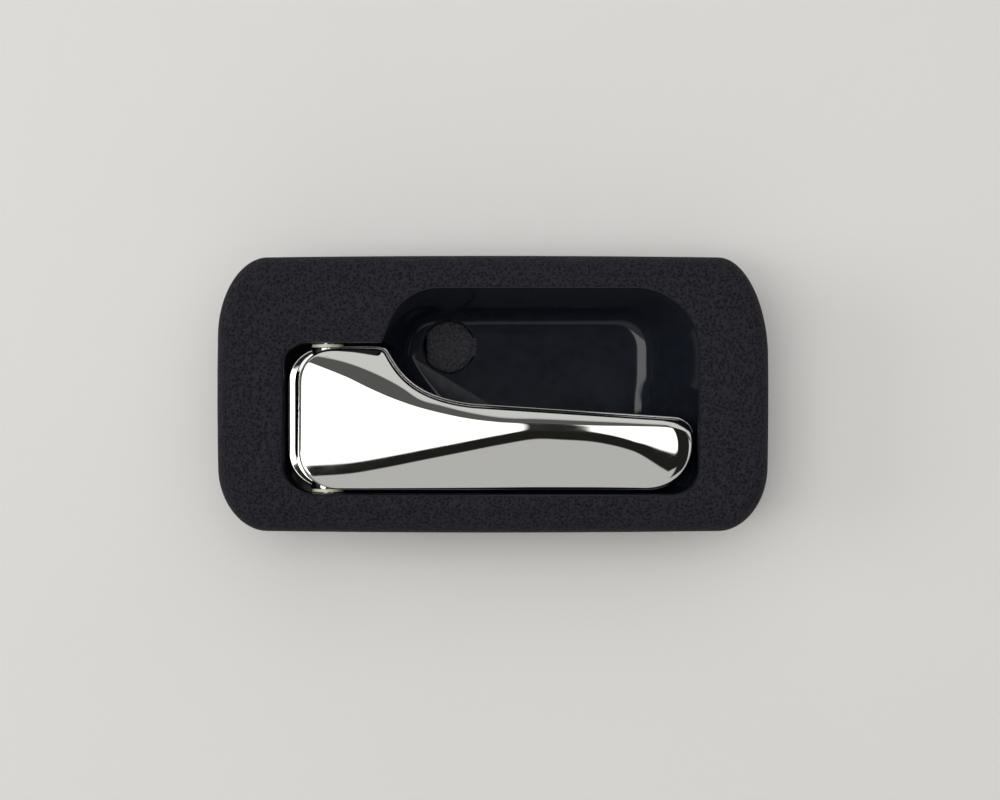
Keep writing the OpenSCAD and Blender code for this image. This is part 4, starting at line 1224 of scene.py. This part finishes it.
@dataclass
class ReturnSpring:
    """The torsion spring round the pin, with a leg on the crank's lug and one on the pocket floor."""

    wire: float = 1.0
    coils: float = 5.5
    gap: float = 0.35
    radius: float = 2.9
    low: float = CRANK_Y + 3.8
    leg_z: float = -4.35
    sides: int = 12

    def path(self) -> Points:
        """Return the wire's middle line, from the lug's leg to the floor's leg."""
        a = np.radians(np.arange(0, 360 * self.coils + 1, 10))
        rise = self.low + (self.wire + self.gap) * a / math.tau
        coil = np.stack([PIVOT_X + self.radius * np.cos(a), rise, PIVOT_Z + self.radius * np.sin(a)], 1)
        knee = mix(self.leg_z, PIVOT_Z, 0.7)
        start, end = ([(p[0], p[1], h) for h in (self.leg_z, knee)] for p in (coil[0], coil[-1]))
        return np.concatenate([start, coil, end[::-1]])

    def build(self) -> None:
        """Build the spring, whose coil twists between the lever and the bezel."""
        mesh = bmesh.new()
        path = self.path()
        along = np.gradient(path, axis=0)
        across = np.cross(along, (0.0, 1.0, 0.0))
        across /= np.linalg.norm(across, axis=1)[:, None]
        over = np.cross(along / np.linalg.norm(along, axis=1)[:, None], across)
        turn = np.linspace(0, math.tau, self.sides, endpoint=False)
        circle = self.wire / 2 * np.stack([np.cos(turn), -np.sin(turn)], 1)
        solid(mesh, [p + circle @ np.array([u, v]) for p, u, v in zip(path, across, over)])
        spring = publish("torsion_spring", mesh, None, [Finish.SPRING_STEEL],
                         ["return_spring"])
        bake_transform(spring)


def dress_nodes() -> None:
    """Give each CAD node its finish."""
    finishes = {
        Finish.ZINC_PLATE: ["pivot_pin"],
        Finish.SPRING_STEEL: ["pin_retainer", "return_spring", "panel_clip"],
        Finish.NYLON: ["bush_upper", "bush_lower", "rod_clip"],
        Finish.RUBBER: ["rest_pad_upper", "rest_pad_lower", "open_stop_pad"],
        Finish.SATIN_ABS: ["bezel"],
        Finish.CHROME_PLATE: ["lever"],
        Finish.CAP_ABS: ["screw_cap"],
    }
    for finish, names in finishes.items():
        for name in names:
            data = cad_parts[name].data
            data.materials.clear()
            data.materials.append(MATERIALS[finish])


# Studio


@dataclass(frozen=True)
class Softbox:
    """A soft panel of light overhead, as seen from the object.

    Low and high are its edges as slopes from straight up, along X and Y.
    """

    low: tuple[float, float]
    high: tuple[float, float]
    fade: float
    level: float


@dataclass
class Studio:
    """Pale table, soft room light and the camera straight above the handle."""

    table_z: float = -22.0
    eye: tuple[float, float, float] = (1.94, -1.58, 430.0)
    lens: float = 56.4
    table: str = "bfbebd"
    table_patch: str = "c2c1c0"
    table_patch_size: float = 120.0
    ceiling: tuple[float, float] = (0.7, 0.018)
    walls: tuple[float, float] = (0.56, 0.85)
    boxes: tuple[Softbox, ...] = (
        Softbox((-9, -9), (9, -0.36), 0.03, 0.66),
        Softbox((-9, 0.5), (9, 1.2), 0.05, 0.13),
        Softbox((-9, -9), (-1.1, 9), 0.1, 0.05),
        Softbox((-0.75, 0.07), (0.36, 0.5), 0.012, 1.9),
        Softbox((-1.0, -0.3), (-0.2, 0.078), 0.02, 4.5),
        Softbox((0.0, 0.02), (0.086, 0.52), 0.008, 0.03),
        Softbox((0.55, -1.2), (2.4, 1.2), 0.1, 0.02),
    )

    def room(self) -> None:
        """Light the scene by a room with softboxes overhead and pale walls.

        The ceiling and the walls hold the height of the look upwards and the light there.
        """
        world = bpy.data.worlds.new("room")
        bpy.context.scene.world = world
        world.use_nodes = True
        tree = world.node_tree
        tree.nodes.clear()
        way = add_node(tree, "TexCoord").outputs["Generated"]
        axes = add_node(tree, "SeparateXYZ", {0: way}).outputs
        up = add_node(tree, "Math", {0: axes[2], 1: 0.02}, operation="MAXIMUM").outputs[0]
        slopes = [add_node(tree, "Math", {0: axes[i], 1: up}, operation="DIVIDE").outputs[0] for i in (0, 1)]
        fall = {"Value": axes[2], "From Min": self.ceiling[0], "From Max": self.walls[0],
                "To Min": self.ceiling[1], "To Max": self.walls[1]}
        level = add_node(tree, "MapRange", fall, interpolation_type="SMOOTHSTEP").outputs[0]
        for box in self.boxes:
            level = self.panel(tree, slopes, box, level)
        back = add_node(tree, "Background", {"Color": linear("fffdf9"), "Strength": level})
        add_node(tree, "OutputWorld", {"Surface": back.outputs[0]})

    def panel(self, tree: bpy.types.NodeTree, slopes: Sequence[bpy.types.NodeSocket], box: Softbox,
              level: bpy.types.NodeSocket) -> bpy.types.NodeSocket:
        """Lay one softbox over the room's level and return the new level."""
        cover = 1.0
        for slope, low, high in zip(slopes, box.low, box.high):
            for edge, side in ((low, 1), (high, -1)):
                fade = side * box.fade
                span = {"Value": slope, "From Min": edge - fade, "From Max": edge + fade}
                part = add_node(tree, "MapRange", span, interpolation_type="SMOOTHSTEP").outputs[0]
                cover = add_node(tree, "Math", {0: cover, 1: part}, operation="MULTIPLY").outputs[0]
        return add_node(tree, "Mix", {0: cover, 2: level, 3: box.level}).outputs[0]

    def floor(self) -> None:
        """Lay the pale table."""
        mesh = bmesh.new()
        bmesh.ops.create_grid(mesh, x_segments=1, y_segments=1, size=3.0)
        bmesh.ops.translate(mesh, vec=(0, 0, self.table_z * MM), verts=mesh.verts)
        table = show_mesh("table", mesh)
        material, tree, shader = blank_material("painted_table")
        place = add_node(tree, "TexCoord").outputs["Object"]
        patch = {"Vector": place, "Scale": 1 / (self.table_patch_size * MM), "Detail": 2.0}
        tone = add_node(tree, "TexNoise", patch).outputs["Fac"]
        tones = {0: tone, 6: linear(self.table), 7: linear(self.table_patch)}
        colour = add_node(tree, "Mix", tones, data_type="RGBA").outputs[2]
        feed(tree, shader, {"Base Color": colour, "Roughness": 0.7, "Specular IOR Level": 0.2})
        table.data.materials.append(material)

    def lamp(self, name: str, place: Sequence[float], size: Sequence[float], watts: float) -> None:
        """Hang a broad lamp that faces the handle and isn't seen in its gloss."""
        light = bpy.data.lights.new(name, "AREA")
        light.shape = "RECTANGLE"
        light.size, light.size_y = size
        light.energy = watts
        lamp = show(name, light)
        lamp.location = place
        lamp.rotation_euler = (-lamp.location).to_track_quat("-Z", "Y").to_euler()
        lamp.visible_glossy = False

    def camera(self) -> None:
        """Set the camera straight above, at the photograph's angle."""
        data = bpy.data.cameras.new("overhead")
        data.lens = self.lens
        data.sensor_width = 36.0
        data.sensor_fit = "HORIZONTAL"
        data.clip_start = 0.01
        data.clip_end = 20.0
        camera = show("overhead", data)
        camera.location = Vector(self.eye) * MM
        bpy.context.scene.camera = camera

    def build(self) -> None:
        """Set up floor, light, camera and view."""
        bpy.context.scene.view_settings.view_transform = "Standard"
        self.room()
        self.floor()
        self.lamp("ceiling_lamp", (0.12, 0.4, 1.2), (2.2, 1.8), 14.0)
        self.lamp("window", (-1.1, 0.1, 0.6), (0.7, 0.5), 6.0)
        self.camera()


def main() -> None:
    """Build the handle's looks and the studio."""
    logging.basicConfig(level=logging.INFO, format="%(message)s")
    Studio().build()
    dress_nodes()
    Bezel().build()
    Lever().build()
    ScrewCap().build()
    ReturnSpring().build()


if __name__ == "__main__":
    main()
